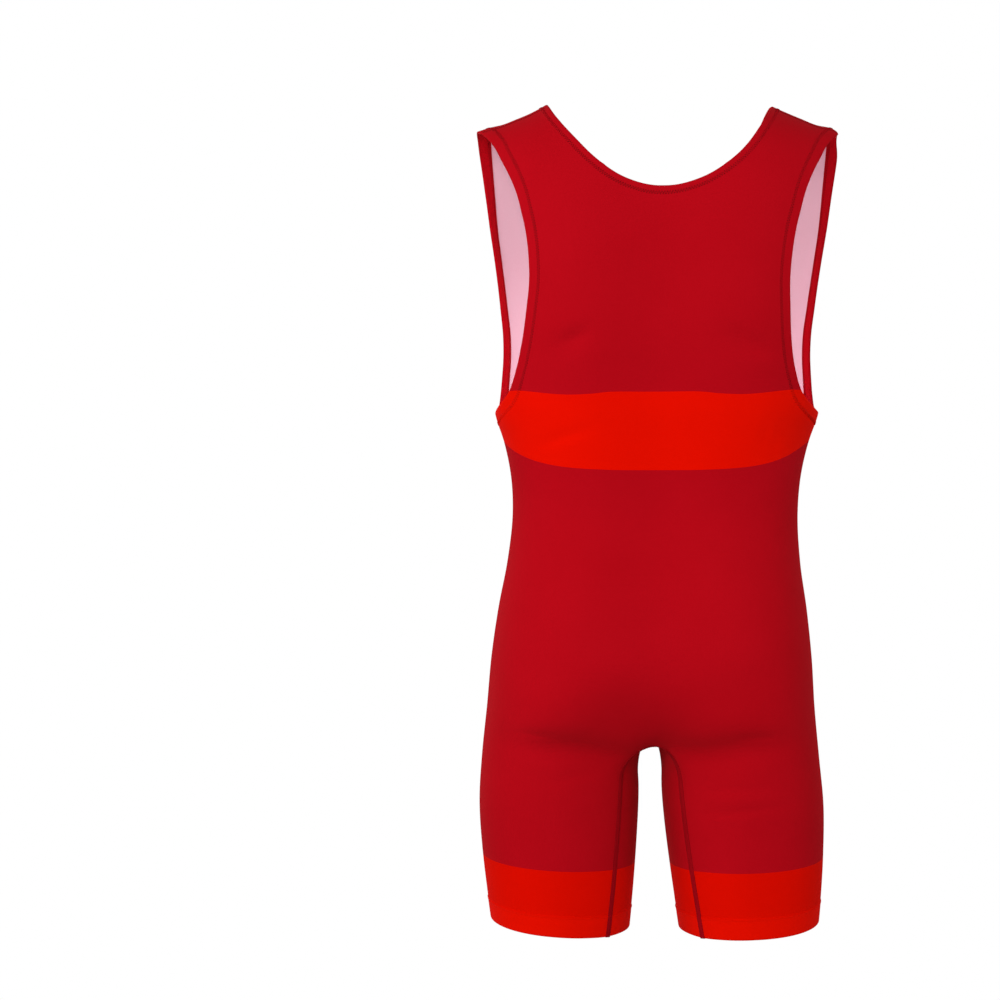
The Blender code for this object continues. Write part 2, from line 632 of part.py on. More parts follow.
def leg_hem(halves, gusset):
    """The fold line and the inner line of a leg's hem, once round through back, gusset and front."""
    rings = []
    layer = WALL + SEAM_GAP
    for row in (0, 1):
        back_t, back_run = (values[row] for values in halves["back"]["grid"])
        front_t, front_run = (values[row] for values in halves["front"]["grid"])
        back = cloth("back", back_t, back_run) - layer * outward("back", back_t, back_run)
        front = cloth("front", front_t, front_run) - layer * outward("front", front_t, front_run)
        inner = gusset[row, 1:-1]
        along = np.gradient(gusset[row], axis=0)[1:-1]
        into = np.stack([-along[:, 1], along[:, 0], np.zeros(len(along))], axis=1)
        into *= np.sign(into[:, :1]) / np.linalg.norm(into, axis=1, keepdims=True)
        inner = inner + layer * into
        rings.append(np.concatenate([back[::-1], inner, front[:-1]]))
    fold, line = rings
    inset = HEM_INSET / np.linalg.norm(line - fold, axis=1, keepdims=True)
    return fold + (line - fold) * inset, line


def build():
    for item in list(bpy.data.objects):
        bpy.data.objects.remove(item, do_unlink=True)
    collection = bpy.data.collections.new("wrestling_singlet")
    bpy.context.scene.collection.children.link(collection)

    halves = {face: half_panel(face) for face in ("back", "front")}
    for face in ("back", "front"):
        colours = [
            material(face + "_panel_crimson", CRIMSON, 0.55),
            material(face + "_panel_scarlet", SCARLET, 0.55),
            material(face + "_panel_inside", WHITE_INSIDE, 0.70),
            material(face + "_panel_inside_band", WHITE_INSIDE, 0.70),
        ]
        panel_object(face, halves[face], colours, collection)

    gusset = gusset_rows(halves["back"], halves["front"])
    colours = [
        material("gusset_crimson", CRIMSON, 0.55),
        material("gusset_scarlet", SCARLET, 0.55),
        material("gusset_inside", WHITE_INSIDE, 0.70),
        material("gusset_inside_band", WHITE_INSIDE, 0.70),
    ]
    gusset_object(gusset, colours, collection)

    fold, line = neck_hem(halves)
    points, faces = np.concatenate([fold, line]), quads(2, len(fold))
    colour = material("neck_hem", CRIMSON, 0.55)
    cloth_object("neck_hem", points, faces, True, [colour], [0] * len(faces), collection)

    rings = (("armhole_hem_", armhole_hem(halves), CRIMSON), ("leg_hem_", leg_hem(halves, gusset), SCARLET))
    for kind, (fold, line), colour in rings:
        for side, copied in (("right", False), ("left", True)):
            made = material(kind + side, colour, 0.55)
            ring_object(kind + side, fold, line, copied, made, collection)


build()
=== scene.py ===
# %% [markdown]
# # A wrestling singlet, cut, sewn and filled out
#
# A singlet is one garment from the shoulders to the middle of the thighs. Its maker prints red dye
# on white knitted cloth, cuts two long panels and a strip for the inside of the legs, joins them
# with flat seams, and turns the edges in under a zigzag stitch. Here it is shown filled out as it
# is worn, with nobody in it, so the cloth is a thin wall around an empty space.
#
# Everything is in metres. +Z is up, the garment's back faces -Y, and +X is the wearer's right.

import math
from collections import namedtuple

import bpy
import numpy as np
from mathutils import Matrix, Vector


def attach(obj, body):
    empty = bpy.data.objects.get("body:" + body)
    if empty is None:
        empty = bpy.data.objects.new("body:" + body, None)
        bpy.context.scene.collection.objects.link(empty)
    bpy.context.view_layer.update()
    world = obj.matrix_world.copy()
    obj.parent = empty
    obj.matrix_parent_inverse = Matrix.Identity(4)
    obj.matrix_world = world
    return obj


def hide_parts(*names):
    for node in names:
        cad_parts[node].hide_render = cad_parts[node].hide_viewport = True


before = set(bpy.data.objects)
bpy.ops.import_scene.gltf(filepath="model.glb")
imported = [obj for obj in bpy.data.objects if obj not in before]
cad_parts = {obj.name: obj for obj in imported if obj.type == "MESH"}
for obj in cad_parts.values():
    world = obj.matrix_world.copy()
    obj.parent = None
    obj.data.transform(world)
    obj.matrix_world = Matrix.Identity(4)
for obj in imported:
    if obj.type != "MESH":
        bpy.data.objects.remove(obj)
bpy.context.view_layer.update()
scene = bpy.context.scene

# %% [markdown]
# ## Camera
#
# The camera looks almost straight at the garment's back, level with its waist, from two metres.
# The lens is given in millimetres for a sensor 36 mm wide, as on a real camera.


# %% Camera
def add_object(name, data):
    """An object that holds data, linked to the scene."""
    made = bpy.data.objects.new(name, data)
    scene.collection.objects.link(made)
    return made


lens = bpy.data.cameras.new("camera")
lens.sensor_width = 36.0
lens.lens = 69.228
camera = add_object("camera", lens)
camera.location = (-0.04, -2.0, -0.395)
camera.rotation_euler = (math.radians(90.0), 0.0, math.radians(3.48))
scene.camera = camera
scene.view_settings.view_transform = "Standard"
print("camera at", tuple(round(v, 3) for v in camera.location))

# %% [markdown]
# ## Colour and nodes
#
# Colours are written as the hex values that a paint or web palette uses. Blender mixes light in
# linear numbers, so one function turns a hex value into them. A second small function adds a
# shader node, sets its sockets and links it, which keeps each material short.


# %% Colour and node helpers
def linear(hex_colour):
    """sRGB hex to linear RGBA: below 0.04045 a value is divided by 12.92, above it raised to 2.4."""
    value = np.array([int(hex_colour[k : k + 2], 16) for k in (1, 3, 5)]) / 255.0
    low, high = value / 12.92, ((value + 0.055) / 1.055) ** 2.4
    return (*(float(v) for v in np.where(value <= 0.04045, low, high)), 1.0)


def add_node(tree, kind, inputs, **settings):
    """Add a node and return its outputs. inputs maps a socket to a value or to what feeds it."""
    made = tree.nodes.new("ShaderNode" + kind)
    for name, value in settings.items():
        setattr(made, name, value)
    for name, value in inputs.items():
        if isinstance(value, bpy.types.NodeSocket):
            tree.links.new(value, made.inputs[name])
        else:
            made.inputs[name].default_value = value
    return made.outputs


def empty_tree(owner):
    """The emptied node tree of a material or a world."""
    owner.use_nodes = True
    owner.node_tree.nodes.clear()
    return owner.node_tree


def new_material(name):
    """A material, its node tree, and where a point lies in space."""
    made = bpy.data.materials.new(name)
    tree = empty_tree(made)
    return made, tree, add_node(tree, "TexCoord", {})["Object"]


def mixed(tree, share, deep, colour):
    """The colour between deep, where share is 0, and colour, where it is 1."""
    return add_node(tree, "Mix", {0: share, 6: linear(deep), 7: linear(colour)}, data_type="RGBA")[2]


def end_material(tree, inputs):
    """A principled shader with these inputs, joined to the material's output."""
    shader = add_node(tree, "BsdfPrincipled", inputs)
    add_node(tree, "OutputMaterial", {"Surface": shader["BSDF"]})


print("crimson in linear numbers:", [round(v, 4) for v in linear("#B01020")[:3]])

# %% [markdown]
# ## Studio
#
# A pale floor lies well below the garment, and the room around it is plain white, so a little light
# comes from everywhere. Two large lamps on the left and a soft one beside the camera give the cloth
# its form, one on the right keeps that side open, and two stand behind for the garment's front.
# A garment shown without its wearer has its inside lit by itself, so a small lamp glows in the chest.

# %% Floor and room
FLOOR_RADIUS, FLOOR_Z, FLOOR_SIDES = 3.0, -2.2, 96
FADE_START, FADE_END = 0.6, 2.9  # between these distances from the middle the floor turns clear
ROOM_SEEN, ROOM_LIGHT = 1.0, 0.11

turn = np.linspace(0.0, 2.0 * np.pi, FLOOR_SIDES + 1)[:-1]
floor_points = [(FLOOR_RADIUS * math.cos(a), FLOOR_RADIUS * math.sin(a), FLOOR_Z) for a in turn]
floor_mesh = bpy.data.meshes.new("floor")
floor_mesh.from_pydata(floor_points, [], [tuple(range(FLOOR_SIDES))])
floor_paint, tree, in_place = new_material("matt_white_studio_floor")
level = add_node(tree, "VectorMath", {0: in_place, 1: (1.0, 1.0, 0.0)}, operation="MULTIPLY")[0]
away = add_node(tree, "VectorMath", {0: level}, operation="LENGTH")["Value"]
spread = {"Value": away, "From Min": FADE_START, "From Max": FADE_END, "To Min": 1.0, "To Max": 0.0}
fade = add_node(tree, "MapRange", spread, interpolation_type="SMOOTHSTEP")[0]
end_material(tree, {"Base Color": linear("#F8F8F8"), "Roughness": 0.9, "Alpha": fade})
floor_mesh.materials.append(floor_paint)
add_object("floor", floor_mesh)

scene.world = bpy.data.worlds.new("white_room")
tree = empty_tree(scene.world)
seen = add_node(tree, "LightPath", {})["Is Camera Ray"]
strength = add_node(tree, "MapRange", {"Value": seen, "To Min": ROOM_LIGHT, "To Max": ROOM_SEEN})[0]
white_air = add_node(tree, "Background", {"Color": (1.0, 1.0, 1.0, 1.0), "Strength": strength})[0]
add_node(tree, "OutputWorld", {"Surface": white_air})
print("floor at", FLOOR_Z, "room light", ROOM_LIGHT)

# %% Lamps
Lamp = namedtuple("Lamp", "name place aim_z size watts")
LAMPS = (
    Lamp("side_left", (-2.7, -0.7, 0.3), -0.40, 1.3, 24.5),
    Lamp("front_left", (-1.2, -2.4, 0.65), -0.40, 1.3, 20.0),
    Lamp("front_soft", (-0.3, -2.6, 0.3), -0.40, 1.6, 34.6),
    Lamp("side_right", (2.7, -0.6, 0.2), -0.40, 1.6, 22.5),
    Lamp("behind_left", (-1.7, 2.1, 0.9), -0.35, 1.5, 34.0),
    Lamp("behind_right", (1.4, 2.4, 0.4), -0.35, 1.6, 34.0),
)
GLOW = Lamp("inside_glow", (-0.01, -0.005, -0.27), None, 0.05, 0.24)

for lamp in LAMPS:
    light = bpy.data.lights.new(lamp.name, "AREA")
    light.size = lamp.size
    light.energy = lamp.watts
    holder = add_object(lamp.name, light)
    holder.location = lamp.place
    aim = Vector((0.0, 0.0, lamp.aim_z)) - Vector(lamp.place)
    holder.rotation_euler = aim.to_track_quat("-Z", "Y").to_euler()

glow = bpy.data.lights.new(GLOW.name, "POINT")
glow.shadow_soft_size = GLOW.size
glow.energy = GLOW.watts
glow_holder = add_object(GLOW.name, glow)
glow_holder.location = GLOW.place
glow_holder.visible_camera = False
print("lamps:", [lamp.name for lamp in LAMPS])

# %% [markdown]
# ## Knitted cloth
#
# The cloth is a warp knit of polyester with some elastane, about 240 g for a square metre. Dye is
# printed on its smooth outside and hardly reaches the inside, which stays white. A knit is made of
# fine ribs, called wales, that run up the cloth, about 0.5 mm apart. At that size they would only
# flicker, so they are drawn twice as far apart. The yarn's fuzz gives a soft, paler sheen where the
# cloth turns away from the eye, instead of a gloss. Where the cloth stretches, its colour pales by a
# hair, which a slow noise gives, and a fine one gives the grain of the yarn.
#
# Each piece carries its own map, in metres along and across the cloth, so the ribs follow it.

# %% Knit materials
WALE, COURSE = 0.0010, 0.0012  # drawn spacing of the ribs, and of the loops along a rib
WAVE = 0.314  # a wave texture repeats every 0.314 / scale
PALEST = 0.12  # the sheen has at least this much green and blue


def knit(name, colour, deep, rough=0.58, sheen=0.15, grain=0.06, bump=0.25):
    """Printed knit: colour with a deeper shade mixed in by two noises, ribbed by two waves."""
    made, tree, in_place = new_material(name)
    on_cloth = add_node(tree, "UVMap", {}, uv_map="cloth")["UV"]
    slow = add_node(tree, "TexNoise", {"Vector": in_place, "Scale": 16.0, "Detail": 2.0})["Fac"]
    fine = add_node(tree, "TexNoise", {"Vector": in_place, "Scale": 620.0, "Detail": 1.0})["Fac"]
    grains = add_node(tree, "Math", {0: fine, 1: grain * 6.0}, operation="MULTIPLY")[0]
    both = add_node(tree, "Math", {0: slow, 1: 0.4, 2: grains}, operation="MULTIPLY_ADD")[0]
    shade = add_node(tree, "MapRange", {"Value": both, "From Min": 0.2, "From Max": 0.56})[0]
    ribs = []
    for axis, spacing in (("X", WALE), ("Y", COURSE)):
        wave = {"Vector": on_cloth, "Scale": WAVE / spacing}
        ribs.append(add_node(tree, "TexWave", wave, bands_direction=axis)["Fac"])
    loops = add_node(tree, "Math", {0: ribs[0], 1: ribs[1]}, operation="MULTIPLY")[0]
    height = add_node(tree, "Math", {0: fine, 1: 0.8, 2: loops}, operation="MULTIPLY_ADD")[0]
    dull = {"Value": fine, "To Min": rough - 0.05, "To Max": rough + 0.05}
    finish = {
        "Base Color": mixed(tree, shade, deep, colour),
        "Normal": add_node(tree, "Bump", {"Height": height, "Strength": bump, "Distance": 0.0004})[0],
        "Roughness": add_node(tree, "MapRange", dull)[0],
        "IOR": 1.45,
        "Specular IOR Level": 0.0,
        "Sheen Weight": sheen,
        "Sheen Roughness": 0.45,
        "Sheen Tint": [max(v, PALEST) for v in linear(colour)],
    }
    end_material(tree, finish)
    return made


crimson = knit("crimson_printed_polyester_knit", "#BD0B19", "#B60916")
scarlet = knit("scarlet_printed_polyester_knit", "#F21000", "#EC0E00")
# The leg band above the hem is a darker copy of the scarlet print: painted shade. A single layer lets
# light through into the empty leg, so it looks darker than the doubled hem.
scarlet_painted_shade = knit("scarlet_knit_darkened_by_painted_shade", "#E80D00", "#E20C00", sheen=0.12)
# The inside's colour is white cloth tinted pink. The pink is painted light: red light that comes through
# the dyed cloth and bounces round inside.
white = knit("white_brushed_knit_inside_with_painted_red_light", "#F8D3DF", "#F2C7D5", 0.80, 0.10, 0.04, 0.15)
seam_red = knit("dark_red_flatlock_seam_threads", "#A40A16", "#940813", 0.70, 0.10, 0.08, 0.30)
print("knits:", [made.name for made in (crimson, scarlet, scarlet_painted_shade, white, seam_red)])

# %% [markdown]
# ## Thread
#
# The seams are sewn with textured polyester thread. It is a soft yarn rather than a hard cord, so it
# is rough and hardly shines, and a twist shows on it as fine slanting light and dark. Where it dives
# into the cloth it lies in its own shade, which a darker yarn stands for. On the scarlet band the
# stitches took the print with the cloth.


# %% Thread material
def thread(name, colour, deep):
    """Twisted yarn: a noise of 0.5 mm grain mixes two shades and lifts the surface a little."""
    made, tree, in_place = new_material(name)
    fibres = add_node(tree, "TexNoise", {"Vector": in_place, "Scale": 1500.0, "Detail": 2.0})["Fac"]
    finish = {
        "Base Color": mixed(tree, fibres, deep, colour),
        "Normal": add_node(tree, "Bump", {"Height": fibres, "Strength": 0.3, "Distance": 0.0001})[0],
        "Roughness": 0.75,
        "Specular IOR Level": 0.05,
    }
    end_material(tree, finish)
    return made


# each second yarn is darker: painted shade for the thread where it dives into the cloth
YARNS = (  # on plain cloth and on the band, each as it shows and as it dives
    thread("dark_red_polyester_thread", "#AC0A17", "#980913"),
    thread("dark_red_polyester_thread_in_painted_shade", "#8C0711", "#7A060E"),
    thread("scarlet_printed_polyester_thread", "#E20F00", "#D00D00"),
    thread("scarlet_printed_polyester_thread_in_painted_shade", "#C40B00", "#B40A00"),
)
print("threads:", [yarn.name for yarn in YARNS])

# %% [markdown]
# ## Curves
#
# Most of the garment is drawn from short tables: how wide the figure is at each height, or where
# an edge is cut. A smooth curve through the rows of a table gives every place between them. A few
# more small functions serve everywhere: an eased step, a bell, and the rise of a quarter circle.


# %% Curves through tables
def table(names, rows):
    """The columns of a table of numbers, by name."""
    return dict(zip(names.split(), np.array(rows).T))


def eased(f):
    """A step from 0 to 1 that starts and ends level: 3 f squared less 2 f cubed."""
    f = np.clip(f, 0.0, 1.0)
    return f * f * (3.0 - 2.0 * f)


def bell(*terms):
    """1 where every term is 0, and fading all round: exp of minus the sum of their squares."""
    return np.exp(-sum(term**2 for term in terms))


def quarter(f):
    """A quarter circle's rise: the root of 1 - (1 - f) squared."""
    return np.sqrt(1.0 - (1.0 - np.clip(f, 0.0, 1.0)) ** 2)


def smooth(at, xs, ys):
    """Cubic Hermite curve through (xs, ys): a point's slope is a mean of those on its two sides."""
    slopes = np.gradient(ys, xs)
    i = np.clip(np.searchsorted(xs, at) - 1, 0, len(xs) - 2)
    width = xs[i + 1] - xs[i]
    f = np.clip((at - xs[i]) / width, 0.0, 1.0)
    bend = slopes[i] * width * f * (1.0 - f) ** 2 - slopes[i + 1] * width * f * f * (1.0 - f)
    return ys[i] + (ys[i + 1] - ys[i]) * eased(f) + bend


def unit(vectors):
    """Each vector over its own length."""
    return vectors / np.maximum(np.linalg.norm(vectors, axis=-1, keepdims=True), 1e-12)


def length_along(line):
    """Length of a line from its start to each of its points."""
    return np.concatenate([[0.0], np.cumsum(np.linalg.norm(np.diff(line, axis=0), axis=1))])


def even_steps(lines, middle, spacing):
    """The points of lines at even steps, about spacing long, along their middle."""
    along = length_along(middle)
    at = np.linspace(0.0, along[-1], int(round(along[-1] / spacing)) + 1)
    return [np.stack([np.interp(at, along, line[:, k]) for k in range(3)], axis=1) for line in lines]


print("a quarter circle at a half:", round(float(quarter(0.5)), 4))

# %% [markdown]
# ## The figure that fills the garment
#
# One row for each girth, from the leg hem up. `side_x` is half the width, `full_x` the place where
# back and front are fullest, `back_y` and `front_y` how far they reach there, `hollow_back` and
# `hollow_front` how much flatter the middle is, and `power` the roundness of the outer quarter:
# 2 is an ellipse, and more is squarer. Heights are measured along the cloth as `run`, because above
# the chest the cloth rolls over the shoulder.

# %% Sizes
WALL = 0.0012
SEAM_GAP = 0.0003
HEM_WIDTH = {"neck": 0.008, "armhole": 0.010}
ARCH_RUN_START, ARCH_RUN = -0.110, 0.140  # the roll over the shoulder
UNDERARM_RUN = -0.305
SEAT_RUN = -0.555
CROTCH_RUN = -0.6435
LEG_HEM_RUN = -0.8370
SEAM_ARCH_HEIGHT = 0.035
SEAM_TURN_FADE = 0.016
SADDLE_REACH = 0.030
GUSSET_SAG = 0.003
SEAT_ROUND = 0.75
INNER_SHARE = 0.40

# facing is the face's direction along y. The gusset's seam lies at apex_y, its arch is arch_x wide
# to each side, and it splays by splay down to the hem. seam_turn is the angle of the cloth there,
# and shoulder_turn how far round the shoulder the panel reaches, both in degrees.
Face = namedtuple("Face", "facing apex_y arch_x splay seam_turn shoulder_turn")
FACES = {
    "back": Face(-1.0, -0.052, 0.029, 0.0195, 47.0, 80.0),
    "front": Face(1.0, 0.050, 0.026, 0.0144, 56.0, 100.0),
}
SHOULDER_RUN = {name: ARCH_RUN_START + ARCH_RUN * f.shoulder_turn / 90.0 for name, f in FACES.items()}
print("the panels reach to", {face: round(run, 4) for face, run in SHOULDER_RUN.items()})

# %% Figure
FIGURE = table(
    "run side_x full_x back_y hollow_back front_y hollow_front power",
    (
        (-0.860, 0.1645, 0.0985, -0.0735, 0.000, 0.0720, 0.000, 2.00),
        (-0.807, 0.1708, 0.0975, -0.0785, 0.000, 0.0765, 0.000, 2.00),
        (-0.757, 0.1752, 0.0965, -0.0835, 0.000, 0.0805, 0.000, 2.00),
        (-0.707, 0.1768, 0.0950, -0.0885, 0.000, 0.0845, 0.000, 2.05),
        (-0.657, 0.1730, 0.0900, -0.0970, 0.002, 0.0885, 0.002, 2.10),
        (-0.607, 0.1680, 0.0820, -0.1130, 0.005, 0.0910, 0.002, 2.15),
        (-0.555, 0.1640, 0.0740, -0.1200, 0.006, 0.0925, 0.001, 2.20),
        (-0.507, 0.1582, 0.0640, -0.1130, 0.005, 0.0930, 0.000, 2.15),
        (-0.457, 0.1502, 0.0560, -0.0970, 0.004, 0.0915, 0.000, 2.08),
        (-0.407, 0.1465, 0.0520, -0.0850, 0.003, 0.0915, 0.000, 2.02),
        (-0.370, 0.1490, 0.0530, -0.0850, 0.003, 0.0950, 0.001, 2.00),
        (-0.335, 0.1565, 0.0560, -0.0910, 0.003, 0.1000, 0.002, 2.00),
        (-0.306, 0.1660, 0.0580, -0.0970, 0.003, 0.1050, 0.003, 2.00),
        (-0.285, 0.1690, 0.0600, -0.1010, 0.004, 0.1080, 0.003, 2.02),
        (-0.245, 0.1700, 0.0620, -0.1080, 0.004, 0.1100, 0.003, 2.08),
        (-0.195, 0.1720, 0.0640, -0.1130, 0.005, 0.1080, 0.003, 2.15),
        (-0.145, 0.1770, 0.0640, -0.1130, 0.004, 0.1030, 0.002, 2.20),
        (-0.110, 0.1835, 0.0630, -0.1110, 0.003, 0.0980, 0.002, 2.15),
        (-0.060, 0.1965, 0.0600, -0.1080, 0.002, 0.0940, 0.001, 2.10),
        (0.000, 0.2090, 0.0600, -0.1060, 0.000, 0.0920, 0.000, 2.10),
        (0.050, 0.2090, 0.0600, -0.1060, 0.000, 0.0920, 0.000, 2.10),
    ),
)
SHOULDER_LINE = table(
    "x top_z",
    (
        (0.000, 0.0600), (0.060, 0.0440), (0.095, 0.0270), (0.1145, 0.0155), (0.1300, 0.0082),
        (0.1450, 0.0015), (0.1600, -0.0050), (0.1750, -0.0085), (0.1890, -0.0125),
    ),
)
SWAY = table(  # the weight rests on one side, so the middle swings off the straight line
    "z x",
    (
        (-0.860, -0.0010), (-0.800, -0.0025), (-0.720, -0.0050), (-0.660, -0.0063),
        (-0.600, -0.0060), (-0.500, -0.0040), (-0.400, -0.0010), (-0.300, 0.0005),
        (-0.200, 0.0020), (-0.100, 0.0030), (0.020, 0.0030),
    ),
)


def figure(run, *names):
    """These columns of the figure at any run."""
    return [smooth(run, FIGURE["run"], FIGURE[name]) for name in names]


print("girths:", len(FIGURE["run"]), "from", FIGURE["run"][0], "to", FIGURE["run"][-1])

# %% [markdown]
# ## Folds and creases
#
# The filled cloth is stretched smooth nearly everywhere. Where the body under it would bend, it
# dips: below the shoulder blades, under the seat, at the groin and behind the armholes. Each dip is
# a row: a soft trough in metres on the garment, longest along its slope in degrees, that may bow and
# be sharper on one side. A depth below nothing makes a soft ridge. The folds lie alike on both sides
# of the garment, and the small creases differ, as on anything worn.

# %% Troughs
Trough = namedtuple("Trough", "x z half_length half_width depth slope bow skew", defaults=(0.0, 1.0))
FOLDS = {
    "back": (
        Trough(0.084, -0.6385, 0.056, 0.0145, 0.0062, 3.0),
        Trough(0.083, -0.2400, 0.024, 0.013, 0.0025, -18.0),
        Trough(0.105, -0.5700, 0.045, 0.020, 0.0020, 22.0),
    ),
    "front": (
        Trough(0.060, -0.6150, 0.060, 0.018, 0.0040, 20.0),
        Trough(0.120, -0.2950, 0.035, 0.016, 0.0025, 30.0),
    ),
}
CREASES = {
    "back": (
        Trough(-0.0810, -0.2355, 0.0140, 0.0080, 0.0028, 20.0, 6.0, 1.2),
        Trough(0.1030, -0.2480, 0.0230, 0.0110, 0.0034, -9.0, 4.0, 1.3),
        Trough(0.0800, -0.2330, 0.0140, 0.0060, 0.0008, -40.0, 0.0, 1.2),
        Trough(0.1420, -0.3270, 0.0300, 0.0300, 0.0040, 90.0),
        Trough(-0.0940, -0.3340, 0.0280, 0.0065, 0.0014, 17.0, 0.0, 1.3),
        Trough(0.1100, -0.3300, 0.0180, 0.0045, 0.0009, 80.0, 0.0, 1.2),
        Trough(0.1210, -0.3360, 0.0160, 0.0040, 0.0008, 76.0, 0.0, 1.2),
        Trough(-0.0650, -0.5780, 0.0560, 0.0320, -0.0062, 25.0),
        Trough(-0.0700, -0.6540, 0.0540, 0.0250, 0.0070, -6.0, -1.0, 0.80),
        Trough(0.0640, -0.6560, 0.0500, 0.0260, 0.0082, 6.0, -1.0, 0.73),
        Trough(-0.1160, -0.6275, 0.0200, 0.0045, 0.0009, -5.0, 0.0, 1.2),
        Trough(0.1040, -0.6290, 0.0200, 0.0045, 0.0009, 4.0, 0.0, 1.2),
        Trough(0.0830, -0.7050, 0.0440, 0.0046, 0.0016, 6.5, 0.0, 1.3),
        Trough(0.0780, -0.6830, 0.0340, 0.0055, 0.0011, 2.0, 0.0, 1.2),
        Trough(-0.0760, -0.6720, 0.0300, 0.0065, 0.0009, 10.0, 0.0, 1.3),
    ),
    "front": (
        Trough(0.1150, -0.2700, 0.0260, 0.0080, 0.0024, 28.0, 3.0, 1.3),
        Trough(-0.1180, -0.2780, 0.0220, 0.0070, 0.0020, -33.0, 3.0, 1.2),
        Trough(0.0200, -0.4050, 0.0500, 0.0100, 0.0013, 4.0, 1.0, 1.2),
        Trough(-0.0500, -0.4600, 0.0420, 0.0100, 0.0015, -7.0, 1.0, 1.3),
        Trough(0.0680, -0.6050, 0.0430, 0.0115, 0.0032, 24.0, -2.0, 1.3),
        Trough(-0.0620, -0.6120, 0.0400, 0.0105, 0.0029, -20.0, -2.0, 1.3),
        Trough(0.0850, -0.6420, 0.0320, 0.0080, 0.0014, 16.0, 0.0, 1.2),
        Trough(-0.0920, -0.7000, 0.0280, 0.0060, 0.0009, -6.0, 0.0, 1.2),
    ),
}
INSEAM_FADE_TOP, INSEAM_FADE_RISE, INSEAM_FADE_SHARE = -0.600, 0.040, 0.15


def trough_depth(troughs, t, x, z):
    """Sum of troughs, each depth times a bell of (along / half length, across / half width).

    across is bent by bow times the square of along. Above its line a trough is skew times as wide,
    and below it as narrow. All die out towards the side seam, where t is 1, and the inseam.
    """
    depth = np.zeros_like(x)
    for trough in troughs:
        slope = np.radians(trough.slope)
        along = (x - trough.x) * np.cos(slope) + (z - trough.z) * np.sin(slope)
        across = (z - trough.z) * np.cos(slope) - (x - trough.x) * np.sin(slope) - trough.bow * along**2
        width = np.where(across > 0.0, trough.skew, 1.0 / trough.skew) * trough.half_width
        depth += trough.depth * bell(along / trough.half_length, across / width)
    by_inseam = np.clip((INSEAM_FADE_TOP - z) / INSEAM_FADE_RISE, 0.0, 1.0)
    return depth * ((1.0 - t**6) * (1.0 - by_inseam * bell(t / INSEAM_FADE_SHARE)))


print("creases:", {face: len(troughs) for face, troughs in CREASES.items()})

# %% [markdown]
# ## One surface for all the cloth
#
# Every piece of cloth lies on one surface, a function of two numbers: `t`, the share of the quarter
# girth from the middle, or from the inseam on a leg, to the side, and `run`, the height along the
# cloth. Because all pieces use the same function, they meet at their seams by themselves. From the
# middle to the fullest line a girth is an eased curve, and from there a rounded quarter.

# %% The gusset's seam
def seam_drop(run):
    """How far each run lies below the crotch."""
    return np.maximum(CROTCH_RUN - run, 0.0)


def seam_place(face, run):
    """(x, y) of the gusset's seam: a quarter circle's rise at the arch, plus a slow splay."""
    arch = FACES[face].arch_x * quarter(seam_drop(run) / SEAM_ARCH_HEIGHT)
    x = arch + FACES[face].splay * (seam_drop(run) / (CROTCH_RUN - LEG_HEM_RUN)) ** 1.5
    return x, np.full_like(x, FACES[face].apex_y)


def seam_direction(face, run):
    """Level direction of the cloth at the seam: its angle fades from 90 degrees as exp(-drop)."""
    turn = FACES[face].seam_turn
    angle = np.radians(turn + (90.0 - turn) * np.exp(-seam_drop(run) / SEAM_TURN_FADE))
    return np.cos(angle), FACES[face].facing * np.sin(angle)


print("the back's seam at the hem:", np.round(seam_place("back", LEG_HEM_RUN), 4))


# %% Girths and cloth
def girth(face, t, run):
    """(x, y) on a girth: a Hermite curve to the fullest line, then a superellipse to the side."""
    side_x, full_x, full_y, power = figure(run, "side_x", "full_x", face + "_y", "power")
    centre_y, hollow = figure(np.maximum(run, SEAT_RUN), face + "_y", "hollow_" + face)
    apex_y = FACES[face].apex_y
    rise = np.clip((run - CROTCH_RUN) / (SEAT_RUN - CROTCH_RUN), 0.0, 1.0)
    rounded = (1.0 - (1.0 - rise) ** 2) ** SEAT_ROUND
    centre_y = apex_y + (centre_y - FACES[face].facing * hollow - apex_y) * rounded
    in_leg = (*seam_place(face, run), *seam_direction(face, run))
    above = (0.0, centre_y, 1.0, 0.0)
    start_x, start_y, lean_x, lean_y = (np.where(run < CROTCH_RUN, *two) for two in zip(in_leg, above))
    reach = np.hypot(full_x - start_x, full_y - start_y)
    opening = reach * eased(np.abs(run - CROTCH_RUN) / SADDLE_REACH)
    f = np.clip(t / INNER_SHARE, 0.0, 1.0)
    leave, arrive = f * (1.0 - f) ** 2 * opening, f * f * (1.0 - f) * reach
    x = start_x + (full_x - start_x) * eased(f) + leave * lean_x - arrive
    y = start_y + (full_y - start_y) * eased(f) + leave * lean_y
    angle = 0.5 * np.pi * np.clip((t - INNER_SHARE) / (1.0 - INNER_SHARE), 0.0, 1.0)
    radius = (np.abs(np.cos(angle)) ** power + np.sin(angle) ** power) ** (-1.0 / power)
    outer = t > INNER_SHARE
    x = np.where(outer, full_x + (side_x - full_x) * np.sin(angle) * radius, x)
    return x, np.where(outer, full_y * np.cos(angle) * radius, y)


